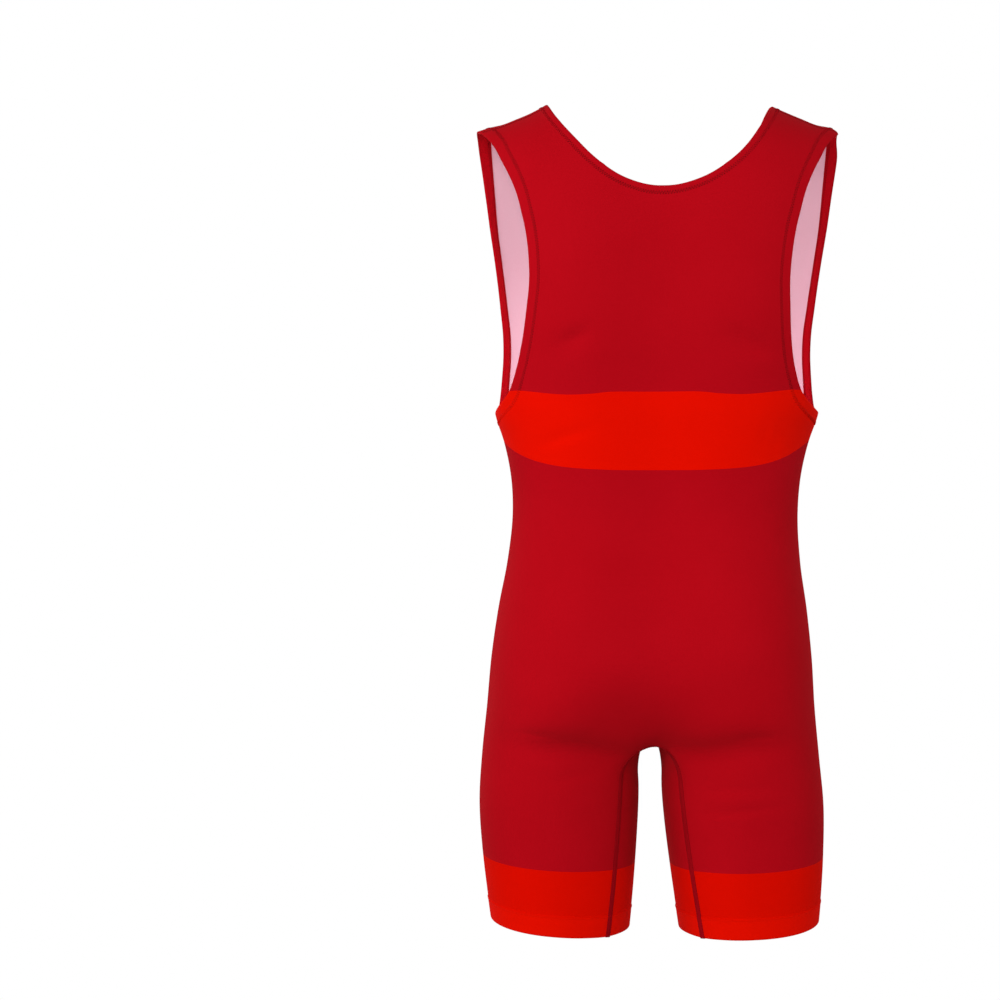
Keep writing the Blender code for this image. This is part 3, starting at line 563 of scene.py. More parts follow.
def cloth(face, t, run):
    """Middle of the cloth at (t, run). Over the shoulder y shrinks as cos(roll) and z rises as sin."""
    t, run = np.broadcast_arrays(np.asarray(t, float), np.asarray(run, float))
    x, y = girth(face, t, run)
    roll = 0.5 * np.pi * np.maximum(run - ARCH_RUN_START, 0.0) / ARCH_RUN
    top = smooth(x, SHOULDER_LINE["x"], SHOULDER_LINE["top_z"])
    z = np.where(run > ARCH_RUN_START, ARCH_RUN_START + (top - ARCH_RUN_START) * np.sin(roll), run)
    y = y * np.cos(roll) - FACES[face].facing * trough_depth(FOLDS[face], t, x, z)
    points = np.stack([x, y, z], axis=-1)
    if face == "front":  # past the top of the shoulder the front panel lies on the back's side of it
        top_run = ARCH_RUN_START + ARCH_RUN
        over = cloth("back", t, np.minimum(2.0 * top_run - run, top_run))
        points = np.where((run > top_run)[..., None], over, points)
    return points


print("widest at the chest:", np.round(cloth("back", 1.0, -0.2), 4))

# %% Slopes and normals
STEP = 1e-4  # a step too small to see, for measuring the surface's slopes


def slopes(face, t, run):
    """How the cloth moves with t and with run, from small steps to both sides."""
    t = np.clip(t, STEP, 1.0 - STEP)
    by_t = cloth(face, t + STEP, run) - cloth(face, t - STEP, run)
    by_run = cloth(face, t, run + STEP) - cloth(face, t, run - STEP)
    return by_t / (2.0 * STEP), by_run / (2.0 * STEP)


def outward(face, t, run):
    """Unit normals: the cross product of the two slopes, away from the wearer."""
    return unit(np.cross(*slopes(face, t, run)) * -FACES[face].facing)


def along_run(face, t, run):
    """Unit vectors up the cloth."""
    return unit(cloth(face, t, run) - cloth(face, t, run - STEP))


print("outwards between the armholes:", np.round(outward("back", 0.3, -0.2), 3))

# %% [markdown]
# ## Cut edges
#
# The neck and the armholes are cut out of the panels. Each edge is a short table of places, `x`
# from the middle and `run` along the cloth. Inside each edge runs a second line, the hem's, where
# the turned-in cloth ends.

# %% Cut edges
CUTS = {
    ("neck", "back"): (
        (0.0000, -0.0973), (0.0250, -0.0949), (0.0500, -0.0878), (0.0750, -0.0729),
        (0.0950, -0.0500), (0.1060, -0.0280), (0.1118, -0.0070), (0.1150, 0.0144),
    ),
    ("neck", "front"): (
        (0.0000, -0.1500), (0.0250, -0.1465), (0.0460, -0.1365), (0.0640, -0.1200), (0.0790, -0.0980),
        (0.0910, -0.0700), (0.1010, -0.0400), (0.1090, -0.0080), (0.1135, 0.0220), (0.1150, 0.0456),
    ),
    ("armhole", "back"): (
        (0.1875, 0.0144), (0.1830, -0.0020), (0.1745, -0.0245), (0.1665, -0.0420), (0.1598, -0.0585),
        (0.1526, -0.0735), (0.1425, -0.0960), (0.1357, -0.1187), (0.1301, -0.1540), (0.1289, -0.1790),
        (0.1304, -0.2030), (0.1340, -0.2384), (0.1396, -0.2660), (0.1472, -0.2865),
    ),
    ("armhole", "front"): (
        (0.1875, 0.0456), (0.1892, 0.0250), (0.1892, 0.0010), (0.1883, -0.0250), (0.1848, -0.0585),
        (0.1797, -0.0940), (0.1757, -0.1190), (0.1718, -0.1440), (0.1684, -0.1690), (0.1654, -0.1950),
        (0.1629, -0.2190), (0.1621, -0.2440), (0.1630, -0.2680), (0.1640, -0.2870), (0.1650, -0.2990),
    ),
}
print("points in the tables of the cut:", sum(len(rows) for rows in CUTS.values()))

# %% Cut lines and hem lines
PAST_EDGE = {"neck": -1.0, "armhole": 1.0}  # which way t grows past each edge
EDGE_POINTS, GIRTH_POINTS = 161, 401
SOLVES, T_ROOM, LAST_STRETCH = 3, 0.2, 12


def share_at(face, x, run):
    """t of the point at a distance x from the middle, looked up on a fine girth."""
    shares = np.linspace(0.0, 1.0, GIRTH_POINTS)
    return np.interp(x, girth(face, shares, np.full(GIRTH_POINTS, run))[0], shares)


def cut_line(name, face):
    """(t, run) along a cut edge, at even steps on the smooth curve through its table."""
    x, run = np.array(CUTS[name, face]).T
    if name == "armhole":  # from the side seam up
        x = np.append(x, figure(UNDERARM_RUN, "side_x"))[::-1]
        run = np.append(run, UNDERARM_RUN)[::-1]
    else:  # the other half's second point goes first, so that the curve is level in the middle
        x, run = np.append(-x[1], x), np.append(run[1], run)
    along = length_along(np.stack([x, run], axis=1))
    fine = np.linspace(0.0 if name == "armhole" else along[1], along[-1], EDGE_POINTS)
    x, run = smooth(fine, along, x), np.minimum(smooth(fine, along, run), SHOULDER_RUN[face])
    t = np.array([share_at(face, *place) for place in zip(x, run)])
    t[0] = 1.0 if name == "armhole" else 0.0
    return t, run


def hem_line(name, face, t, run):
    """(t, run) of the line that lies the hem's width inside a cut edge.

    The step into the cloth is solved from the surface's slopes along t and run, two equations in
    two unknowns, SOLVES times over, each from where the last one ended. t may pass the girth's ends
    by T_ROOM. The last stretch is moved on to the shoulder seam, by a share to the power of
    LAST_STRETCH.
    """
    points, width = cloth(face, t, run), HEM_WIDTH[name]
    inwards = np.cross(unit(np.gradient(points, axis=0)), outward(face, t, run))
    wanted = points + width * PAST_EDGE[name] * FACES[face].facing * inwards
    new_t, new_run = t, run
    for _ in range(SOLVES):
        by_t, by_run = slopes(face, new_t, new_run)
        a, b, c = (np.sum(u * v, 1) for u, v in ((by_t, by_t), (by_t, by_run), (by_run, by_run)))
        p, q = (np.sum(u * (wanted - cloth(face, new_t, new_run)), 1) for u in (by_t, by_run))
        new_t = np.clip(new_t + (c * p - b * q) / (a * c - b * b), -T_ROOM, 1.0 + T_ROOM)
        new_run = new_run + (a * q - b * p) / (a * c - b * b)
    new_t[0] = t[0]
    on_seam = t[-1] + np.linspace(0.0, T_ROOM, 101) * np.sign(new_t[-1] - t[-1])
    reach = np.linalg.norm(cloth(face, on_seam, run[-1]) - points[-1], axis=1)
    fade = np.linspace(0.0, 1.0, len(t)) ** LAST_STRETCH
    new_t += (np.interp(width, reach, on_seam) - new_t[-1]) * fade
    new_run += (run[-1] - new_run[-1]) * fade
    return new_t, np.maximum.accumulate(new_run)


print("the back's neck starts at run", round(cut_line("neck", "back")[1][0], 4))

# %% [markdown]
# ## A fine grid for half a panel
#
# The two printed bands, the crotch and the underarm are level lines of the panel, so the grid is
# laid out between them: every row of cells follows the cloth, and a band's edge is a row. That
# keeps the print's edges crisp, with no picture needed. Two close lines hold the fine ridge at the
# top of the leg hem.

# %% Levels of the grid
COLUMNS = 56
Level = namedtuple("Level", "name cells inner outer")
LEVELS = (
    Level("leg hem", 0, LEG_HEM_RUN, -0.8270),
    Level("ridge foot", 8, -0.8180, -0.8082),
    Level("ridge head", 8, -0.8140, -0.8042),
    Level("leg band top", 14, -0.7688, -0.7600),
    Level("crotch", 46, CROTCH_RUN, -0.6000),
    Level("chest band foot", 80, -0.3653, -0.3328),
    Level("underarm", 6, -0.3480, None),
    Level("chest band top", 20, -0.2880, -0.2845),
    Level("neck", 50, None, None),
    Level("shoulder seam", 45, None, None),
)


def row_of(name):
    """Number of the row on the level called name."""
    place = [level.name for level in LEVELS].index(name)
    return sum(level.cells for level in LEVELS[: place + 1])


HEM_TOP = row_of("ridge foot") + 4
BAND_TOP = row_of("chest band top")
CROTCH = row_of("crotch")
PRINTED_ROWS = (  # (first row, row past the last, place of its finish)
    (0, HEM_TOP, 1),
    # finish 2 is the scarlet print darkened by painted shade
    (HEM_TOP, row_of("leg band top"), 2),
    (row_of("chest band foot"), BAND_TOP, 1),
)
FIRST_ROW = {"neck": row_of("neck"), "armhole": row_of("underarm")}
BORDER = {"neck": 0, "armhole": -1}  # the grid's column beside each cut edge
print("rows:", {level.name: row_of(level.name) for level in LEVELS})

# %% Fine grid
NECK_ROW_FALL = 0.030
ROW_CURVE, ROW_CURVE_FADE = 1.6, 0.015
LEG_CROWDING = 1.8
LEVEL_END_RUN, LEVEL_END_REACH = -0.3655, 0.020  # rows here are level again at the side seam
WAVE_DEPTH, WAVE_SHARE, WAVE_WIDTH = 0.0041, 0.71, 0.20  # the band's top dips a little
WAVE_RUN, WAVE_HEIGHT = -0.2880, 0.012
EDGE_PULL_ROWS = 9.0
LEG_POINTS = 600  # on a border below its cut edge


def border_nodes(face, hem, corner_t, runs, crowding):
    """(t, run) of a border's nodes, spread evenly by length, or by height along a leg."""
    low = np.linspace(runs[0], hem[1][0], LEG_POINTS)[:-1]
    t = np.concatenate([np.full(len(low), corner_t), hem[0]])
    run = np.concatenate([low, hem[1]])
    along = length_along(cloth(face, t, run))
    places = [0.0]
    for below, here, level in zip(runs[:-1], runs[1:], LEVELS[1:]):
        share = np.arange(1, level.cells + 1) / level.cells
        if here <= CROTCH_RUN:
            power = crowding if here == CROTCH_RUN else 1.0
            places += list(np.interp(here - (here - below) * (1.0 - share) ** power, run, along))
        else:
            low_end, high_end = np.interp([below, here], run, along)
            places += list(low_end + (high_end - low_end) * share)
    index = np.interp(places, along[len(low) :], np.arange(len(hem[0])))
    return np.interp(places, along, t), np.interp(places, along, run), index


print("nodes on a border:", row_of("shoulder seam") + 1)


# %% Half panels
def half_panel(face):
    """(t, run) of the +X half's grid, and of the cut edges beside its upper rows."""
    edges = {name: cut_line(name, face) for name in BORDER}
    hems = {name: hem_line(name, face, *edge) for name, edge in edges.items()}
    ends = {level.name: (level.inner, level.outer) for level in LEVELS}
    ends["underarm"] = (ends["underarm"][0], hems["armhole"][1][0])
    ends["neck"] = (hems["neck"][1][0], hems["neck"][1][0] - NECK_ROW_FALL)
    ends["shoulder seam"] = (SHOULDER_RUN[face], SHOULDER_RUN[face])
    inner_runs, outer_runs = zip(*ends.values())
    inner = border_nodes(face, hems["neck"], 0.0, inner_runs, LEG_CROWDING)
    outer = border_nodes(face, hems["armhole"], 1.0, outer_runs, 1.0)

    share = np.linspace(0.0, 1.0, COLUMNS + 1)
    late = 1.0 + ROW_CURVE / (1.0 + np.exp((CROTCH_RUN - inner[1]) / ROW_CURVE_FADE))[:, None]
    t = inner[0][:, None] + (outer[0] - inner[0])[:, None] * share
    level_end = bell((inner[1] - LEVEL_END_RUN) / LEVEL_END_REACH)[:, None]
    rise = share**late * (1.0 - level_end) + share**6 * (7.0 - 6.0 * share) * level_end
    run = inner[1][:, None] + (outer[1] - inner[1])[:, None] * rise
    run -= WAVE_DEPTH * bell((share - WAVE_SHARE) / WAVE_WIDTH, (run - WAVE_RUN) / WAVE_HEIGHT)

    half = {"grid": (t, run)}
    for name, (edge_t, edge_run) in edges.items():
        index = inner[2] if name == "neck" else outer[2]
        paired, places = index[FIRST_ROW[name] :], np.arange(len(edge_t))
        if name == "armhole":  # the band's top row is carried straight out to the edge
            wanted = np.interp(run[BAND_TOP, -1], edge_run, places)
            apart = np.arange(FIRST_ROW[name], len(index)) - BAND_TOP
            paired = paired + (wanted - index[BAND_TOP]) * bell(apart / EDGE_PULL_ROWS)
        half[name] = (np.interp(paired, places, edge_t), np.interp(paired, places, edge_run))
    return half


halves = {face: half_panel(face) for face in FACES}
print("rows and columns of half a panel:", halves["back"]["grid"][0].shape)

# %% [markdown]
# ## The stance
#
# The garment doesn't stand quite straight. Its middle swings sideways, and the crotch hangs a little
# lower on the side that carries no weight. Between the armholes the back has slid 3 mm to one side,
# and at the neck 4.5 mm to the other. One strap has dropped by 2 mm and the other by 5 mm, and this
# one's outer end is drawn in and rounds off. All of it is laid over the finished points, so every
# piece follows.

# %% Stance
CROTCH_TILT = 0.22
SLIDE_DEPTH = 0.050  # how far behind the side seams the back slides fully
BACK_SLIDE, BACK_SLIDE_Z = 0.0031, -0.270
NECK_SLIDE, NECK_SLIDE_Z = 0.0045, -0.046
STRAP_DROP, STRAP_X, STRAP_Z, STRAP_SLOPE = 0.0055, 0.112, 0.015, 0.38
STRAP_END_PULL, STRAP_END_DROP, STRAP_END_X = 0.0060, 0.0030, 0.172
OTHER_STRAP_DROP, OTHER_STRAP_X, OTHER_STRAP_Z = 0.0018, -0.133, 0.005


def swayed(points):
    """Points as the stance moves them: each shift is a bell as wide and high as it is divided by."""
    x, y, z = points.T
    behind = eased(-y / SLIDE_DEPTH)
    back = behind * bell((z - BACK_SLIDE_Z) / 0.075)
    above_neck = z - NECK_SLIDE_Z
    neck = behind * bell((x / 0.120) ** 3, above_neck / np.where(above_neck > 0.0, 0.031, 0.058))
    crotch = x * bell(x / 0.030, (z - CROTCH_RUN) / 0.026)
    inner, outer = np.minimum(x - STRAP_X, 0.0), np.maximum(x - STRAP_X, 0.0)
    above_strap = z - STRAP_Z + STRAP_SLOPE * outer
    strap = bell(inner / 0.026, outer / 0.110, above_strap / 0.040)
    end = np.clip((x - STRAP_END_X) / 0.017, 0.0, 1.0) ** 2 * bell((above_strap - 0.0085) / 0.022)
    other = bell((x - OTHER_STRAP_X) / 0.022, (z - OTHER_STRAP_Z) / 0.030)
    sideways = smooth(z, SWAY["z"], SWAY["x"]) - STRAP_END_PULL * end
    sideways += NECK_SLIDE * neck - BACK_SLIDE * back
    down = STRAP_DROP * strap + STRAP_END_DROP * end + OTHER_STRAP_DROP * other - CROTCH_TILT * crotch
    return np.stack([x + sideways, y, z - down], axis=1)


print("the middle swings to", np.round(swayed(np.array([[0.0, 0.0, -0.66]]))[0], 4))

# %% [markdown]
# ## From a surface to cloth with a thickness
#
# Real cloth has two faces and an edge, and light needs them: the outside is dyed, the inside white.
# So each surface is doubled, half a wall out and half a wall in along its normals, and a rim closes
# it. A modifier could do this, but here the rim's edges also need to stay sharp, and both faces
# need their own finish.

# %% Grids and faces
MIRROR = np.array([-1.0, 1.0, 1.0])


def numbered(grid, start=0):
    """Vertex numbers from start, one for each point of a grid of points."""
    return start + np.arange(grid.shape[0] * grid.shape[1]).reshape(grid.shape[:2])


def grid_faces(index):
    """Quads of a table of vertex numbers: each cell and its neighbours to the right and above."""
    cells = (index[:-1, :-1], index[:-1, 1:], index[1:, 1:], index[1:, :-1])
    return np.stack(cells, axis=-1).reshape(-1, 4)


def grid_normals(grid):
    """Unit cross product of the grid's slopes along its rows and columns."""
    return unit(np.cross(np.gradient(grid, axis=1), np.gradient(grid, axis=0)))


def cloth_map(u, v):
    """A map in metres, one pair for each point."""
    return np.stack(np.broadcast_arrays(u, v), axis=-1).reshape(-1, 2)


print("a cell of a grid:", grid_faces(np.arange(4).reshape(2, 2))[0])


# %% Turning and mirroring
def quad_turns(points, faces):
    """Cross product of each quad's diagonals: it stands on the quad, twice its area long."""
    a, b, c, d = (points[faces[:, k]] for k in range(4))
    return np.cross(c - a, d - b)


def facing_away(points, faces, centre):
    """The faces, all turned round if the first one looks towards centre."""
    look = np.dot(quad_turns(points, faces[:1])[0], points[faces[0]].mean(axis=0) - centre)
    return faces[:, ::-1] if look < 0.0 else faces


def both_halves(right, left, faces, slots, uv):
    """Join a half at +X with the mirror image of left, sharing the vertices on the middle."""
    count = len(right)
    middle = np.abs(right[:, 0]) < 1e-9
    twin = np.where(middle, np.arange(count), np.cumsum(~middle) - 1 + count)
    points = np.concatenate([right, left[~middle] * MIRROR])
    faces = np.concatenate([faces, twin[faces][:, ::-1]])
    return points, faces, np.tile(slots, 2), np.concatenate([uv, uv[~middle] * MIRROR[:2]])


def mirrored(how, points, faces, slots, uv=None):
    """A mesh and its mirror image: joined on the middle, copied, in its place, or the mesh alone."""
    if how == "joined":
        return both_halves(points, points, faces, slots, uv)
    if how == "in its place":
        return points * MIRROR, faces[:, ::-1], slots, uv
    if how == "copied":
        faces = np.concatenate([faces, faces[:, ::-1] + len(points)])
        uv = None if uv is None else np.tile(uv, (2, 1))
        return np.concatenate([points, points * MIRROR]), faces, np.tile(slots, 2), uv
    return points, faces, slots, uv


print("mirrored across", MIRROR)


# %% Smooth meshes
def mesh_object(name, points, faces, slots, uv, materials, sharp=None, node=None, slot="crimson_knit"):
    """A smooth mesh of quads, with a finish for each face, a map in metres and its sharp edges."""
    mesh = bpy.data.meshes.new(name)
    mesh.from_pydata(swayed(points), [], faces)
    mesh.validate()
    for entry in materials:
        mesh.materials.append(entry)
    mesh.polygons.foreach_set("material_index", np.asarray(slots, dtype=np.int32))
    if uv is not None:
        layer = mesh.uv_layers.new(name="cloth")
        layer.uv.foreach_set("vector", uv[faces.ravel()].astype(np.float32).ravel())
    mesh.shade_smooth()
    if sharp is not None:
        pairs = np.empty(len(mesh.edges) * 2, dtype=np.int32)
        mesh.edges.foreach_get("vertices", pairs)
        keys, wanted = (np.sort(e, axis=1) @ [len(points), 1] for e in (pairs.reshape(-1, 2), sharp))
        mesh.edges.foreach_set("use_edge_sharp", np.isin(keys, wanted))
    mesh.update()
    made = add_object(name, mesh)
    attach(made, "root")
    if node:
        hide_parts(node)
    return made


# %% Thick cloth
def cloth_object(node, points, faces, slots, uv, materials, slot="crimson_knit"):
    """Thick cloth: points moved half a wall out and in, with a rim wherever an edge has one face.

    A vertex normal is the sum of its faces' turns. materials holds the outside finishes and then
    the inside ones.
    """
    turns = quad_turns(points, faces)
    normals = np.zeros_like(points)
    for k in range(4):
        np.add.at(normals, faces[:, k], turns)
    half_wall = 0.5 * WALL * unit(normals)
    count = len(points)
    edges = np.concatenate([faces[:, [k, (k + 1) % 4]] for k in range(4)])
    keys = np.sort(edges, axis=1) @ [count, 1]
    _, first, times = np.unique(keys, return_index=True, return_counts=True)
    first = first[times == 1]
    rim, rim_slots = edges[first], slots[np.tile(np.arange(len(faces)), 4)[first]]
    rim_faces = np.stack([rim[:, 1], rim[:, 0], rim[:, 0] + count, rim[:, 1] + count], axis=1)
    all_points = np.concatenate([points + half_wall, points - half_wall])
    all_faces = np.concatenate([faces, faces[:, ::-1] + count, rim_faces])
    all_slots = np.concatenate([slots, slots + len(materials) // 2, rim_slots])
    sharp, uv = np.concatenate([rim, rim + count]), np.tile(uv, (2, 1))
    name = node + "_cloth"
    print(name, "cells", len(faces), "area", round(0.5 * float(np.linalg.norm(turns, axis=1).sum()), 4))
    return mesh_object(name, all_points, all_faces, all_slots, uv, materials, sharp, node, slot)


print("wall of the cloth:", WALL * 1000, "mm")

# %% [markdown]
# ## Turned edges
#
# A hemmed edge isn't a raw cut: the cloth goes round a tight bend and lies back on itself. The
# panel's surface is therefore carried on past the edge, round half a small circle, and the layer
# that lies inside starts there as the hem's own piece.

# %% Turned edges
LAYER = WALL + SEAM_GAP
BEND_RADIUS = 0.5 * LAYER  # between the middle of one layer and the middle of the other
BEND_REACH = BEND_RADIUS + 0.5 * WALL
BEND_STEPS = 5
HEM_CLEAR = 0.0001
STRIP_CELLS = 4
RIDGE_RUN, RIDGE_RISE = -0.8160, 0.0098
RIDGE_REACH = 0.010  # past this distance from the ridge the lift no longer changes
RIDGE_HEIGHT, RIDGE_WIDTH = 0.00055, 0.0009
HEM_LIFT, HEM_LIFT_FADE = 0.0003, 0.0005


def bend(last, ahead, normal):
    """Half a circle past the last points: sin turns ahead, cos turns down the normal."""
    ahead = unit(ahead - normal * np.sum(ahead * normal, axis=-1, keepdims=True))
    turn = np.linspace(0.0, np.pi, BEND_STEPS + 1)[1:, None]
    moved = np.sin(turn) * ahead[:, None] + (np.cos(turn) - 1.0) * normal[:, None]
    return last[:, None] + BEND_RADIUS * moved


def turned_foot(grid, normal):
    """Draw a grid's first row in, and return the rows of its bend."""
    ahead = unit(grid[0] - grid[1])
    grid[0] -= BEND_REACH * ahead
    return bend(grid[0], ahead, normal[0]).transpose(1, 0, 2)


print("bend of a turned edge:", round(BEND_RADIUS * 1000, 2), "mm radius")


# %% Strips beside the cut edges, and the ridge
def between(name, face, share):
    """(t, run) at shares of the way from the hem line, where share is 0, to the cut edge."""
    grid, edge = halves[face]["grid"], halves[face][name]
    lines = [values[FIRST_ROW[name] :, BORDER[name], None] for values in grid]
    return [line + (end[:, None] - line) * share for line, end in zip(lines, edge)]


def short_of_edge(name, face, share, reach):
    """(t, run) as between gives them, with the edge drawn in by reach."""
    ends = cloth(face, *between(name, face, np.array([0.0, 1.0])))
    width = np.linalg.norm(ends[:, 1] - ends[:, 0], axis=1)
    return between(name, face, share * (1.0 - reach / width)[:, None])


def hem_strip(name, face):
    """Points from the hem line to the edge and round its bend, a row for each node."""
    share = np.linspace(0.0, 1.0, STRIP_CELLS + 1)[1:]
    t, run = short_of_edge(name, face, share, BEND_REACH)
    flat = cloth(face, t, run)
    ahead = cloth(face, *halves[face][name]) - flat[:, -1]
    round_it = bend(flat[:, -1], ahead, outward(face, t[:, -1], run[:, -1]))
    points = np.concatenate([flat, round_it], axis=1)
    points[-1] -= 0.5 * SEAM_GAP * along_run(face, t[-1, -1:], run[-1, -1:])
    if name == "neck":
        points[0, :, 0] = 0.0
    else:
        points[0, :, 1] += 0.5 * SEAM_GAP * FACES[face].facing
    return points


def ridge(t, run):
    """Lift of the leg hem: a step below its top line, as 1 / (1 + exp), and a bell on it."""
    above = np.clip(run - (RIDGE_RUN + RIDGE_RISE * t), -RIDGE_REACH, RIDGE_REACH)
    return HEM_LIFT / (1.0 + np.exp(above / HEM_LIFT_FADE)) + RIDGE_HEIGHT * bell(above / RIDGE_WIDTH)


print("the ridge stands", round(ridge(0.0, RIDGE_RUN) * 1000, 2), "mm proud")

# %% [markdown]
# ## Back and front panels
#
# Each panel is one piece of cloth from the shoulder seams to the leg hems. Half of it is worked out
# and mirrored, each side with its own creases, so the halves share the line down the middle and no
# seam shows there. At a sewn seam the cloth rolls in a little, which a maker sees as a fine line.

# %% Panel helpers
SEAM_ROLL = 0.00035
MAP_WIDTH = 0.27
PANEL_FINISH = [crimson, scarlet, scarlet_painted_shade, white, white, white]
RELAX_TIMES, RELAX_SHARE, RELAX_HEIGHT, RELAX_WIDTH = 120, 0.8, 0.028, 0.060
NEAR_CROTCH = slice(CROTCH - 40, CROTCH + 60)  # rows whose normals come from the evened-out points


def relaxed(grid):
    """Even out the cloth round the crotch: time and again points move to their neighbours' mean.

    How far they move is a bell round the crotch. The inseam stays put, and past the middle a
    point's neighbour is its own mirror image.
    """
    grid = grid.copy()
    share = RELAX_SHARE * bell((grid[..., 2] - CROTCH_RUN) / RELAX_HEIGHT, grid[..., 0] / RELAX_WIDTH)
    share[: CROTCH + 1, 0] = share[0] = share[-1] = share[:, -1] = 0.0
    for _ in range(RELAX_TIMES):
        left = np.concatenate([grid[:, 1:2] * MIRROR, grid[:, :-1]], axis=1)
        right = np.concatenate([grid[:, 1:], grid[:, -1:]], axis=1)
        low = np.concatenate([grid[:1], grid[:-1]])
        high = np.concatenate([grid[1:], grid[-1:]])
        grid += share[..., None] * (0.25 * (left + right + low + high) - grid)
    return grid


def printed(index, first_row):
    """(place of the finish, column) of each cell: 0 plain, 1 printed, 2 printed and darkened by painted
    shade.
    """
    row, column = np.indices((index.shape[0] - 1, index.shape[1] - 1)).reshape(2, -1)
    row = np.maximum(row + first_row, 0)
    place = np.zeros_like(row)
    for first, past, finish in PRINTED_ROWS:
        place[(row >= first) & (row < past)] = finish
    return place, column


print("rows evened out:", NEAR_CROTCH.start, "to", NEAR_CROTCH.stop)


# %% Points of a panel
def panel_points(face, t, run):
    """Points of the panel's grid and of its foot, and the grid's normals, drawn in at the seams."""
    facing = FACES[face].facing
    inseam, side = slice(0, CROTCH + 1), slice(0, FIRST_ROW["armhole"] + 1)
    points, normal = relaxed(cloth(face, t, run)), outward(face, t, run)
    normal[NEAR_CROTCH] = grid_normals(points)[NEAR_CROTCH] * -facing
    normal[CROTCH : FIRST_ROW["neck"] + 1, 0, 0] = 0.0
    points += ridge(t, run)[..., None] * normal
    points[inseam, 0, :2] += 0.5 * SEAM_GAP * np.stack(seam_direction(face, run[inseam, 0]), axis=-1)
    points[side, -1, 1] += 0.5 * SEAM_GAP * facing
    points[inseam, 0] -= SEAM_ROLL * normal[inseam, 0]
    points[side, -1] -= SEAM_ROLL * normal[side, -1]
    points[-1] -= 0.5 * SEAM_GAP * along_run(face, t[-1], run[-1]) + SEAM_ROLL * normal[-1]
    return points, turned_foot(points, normal), normal


print("the bend at a panel's foot:", BEND_STEPS, "rows")


# %% Whole panels
def panel(face):
    """One whole panel: the half's points with creases for each side, joined and thickened."""
    t, run = halves[face]["grid"]
    base, foot, normal = panel_points(face, t, run)
    strips = {name: hem_strip(name, face) for name in BORDER}
    sides = []
    to_edge = 1.0 - np.linspace(0.0, 1.0, COLUMNS + 1) ** 6  # creases die out before the hems
    for sign in (1.0, -1.0):
        deep = to_edge * trough_depth(CREASES[face], t, sign * base[..., 0], base[..., 2])
        grid = base - deep[..., None] * normal
        grid[CROTCH : FIRST_ROW["neck"] + 1, 0, 0] = 0.0
        sides.append(np.concatenate([part.reshape(-1, 3) for part in (grid, foot, *strips.values())]))

    index = numbered(base)
    below = numbered(foot, index.size)
    tables = [(index, 0), (np.concatenate([below[::-1], index[:1]]), -BEND_STEPS)]
    foot_t = np.tile(t[:1], (BEND_STEPS, 1))
    maps = [cloth_map(MAP_WIDTH * t, run), cloth_map(MAP_WIDTH * foot_t, run[0, 0])]
    for name, strip in strips.items():
        low, column = FIRST_ROW[name], BORDER[name]
        beside = numbered(strip, sum(len(part) for part in maps))
        joined = np.concatenate([index[low:, column, None], beside], axis=1)
        tables.append((joined[:, ::-1] if name == "neck" else joined, low))
        ahead = np.linspace(0.001, 0.012, strip.shape[1]) * PAST_EDGE[name]
        maps.append(cloth_map(MAP_WIDTH * t[low:, column, None] + ahead, run[low:, column, None]))

    places = []
    for numbers, low in tables:
        place, column = printed(numbers, low)
        if low == FIRST_ROW["armhole"]:  # the band's print stops on the fold of the armhole
            place[column > STRIP_CELLS] = 0
        places.append(place)
    faces = np.concatenate([grid_faces(numbers) for numbers, _ in tables])
    faces = faces[:, ::-1] if face == "front" else faces
    whole = both_halves(*sides, faces, np.concatenate(places), np.concatenate(maps))
    widest = 2.0 * np.linalg.norm(np.diff(base, axis=1), axis=-1).sum(axis=1).max()
    longest = np.linalg.norm(np.diff(base, axis=0), axis=-1).sum(axis=0).max()
    print(face, "widest girth", round(widest, 4), "longest line", round(longest, 4))
    return cloth_object(face + "_panel", *whole, PANEL_FINISH)


back_panel = panel("back")
front_panel = panel("front")

# %% [markdown]
# ## Inner leg gusset
#
# A strip of cloth joins back and front between the legs. It starts at one leg hem, runs up the
# inside of that thigh, passes under the crotch and comes down the other. Across, it is a Hermite
# curve that leaves the back's seam in the back panel's direction and meets the front's in the
# front panel's, so the cloth stays smooth over both seams.

# %% Gusset
GUSSET_COLUMNS = 30
GUSSET_PULL = 1.13
GUSSET_MAP_WIDTH = 0.1


def seam_vectors(face, height):
    """The gusset's seam at each height: its place, and the level direction of the cloth there."""
    place = np.stack([*seam_place(face, height), height], axis=-1)
    return place, np.stack([*seam_direction(face, height), np.zeros(len(height))], axis=-1)


def gusset_grid():
    """Points of the +X half, a row for each height of the panels' inseam rows."""
    heights = halves["back"]["grid"][1][: CROTCH + 1, 0]
    u = np.linspace(0.0, 1.0, GUSSET_COLUMNS + 1)[:, None]
    ends = []
    for face in FACES:
        place, lean = seam_vectors(face, heights)
        ends += [(place - 0.5 * SEAM_GAP * lean)[:, None], lean[:, None]]
    start, start_lean, end, end_lean = ends
    pull = GUSSET_PULL * np.linalg.norm(end - start, axis=-1, keepdims=True)
    lean = start_lean * u * (1.0 - u) ** 2 + end_lean * u * u * (1.0 - u)
    grid = start * (1.0 - eased(u)) + end * eased(u) - pull * lean
    grid[-1, :, 0] = 0.0
    sag = GUSSET_SAG * 16.0 * (u[:, 0] * (1.0 - u[:, 0])) ** 2
    grid[..., 2] -= sag * np.exp(-seam_drop(heights) / SADDLE_REACH)[:, None]
    return grid


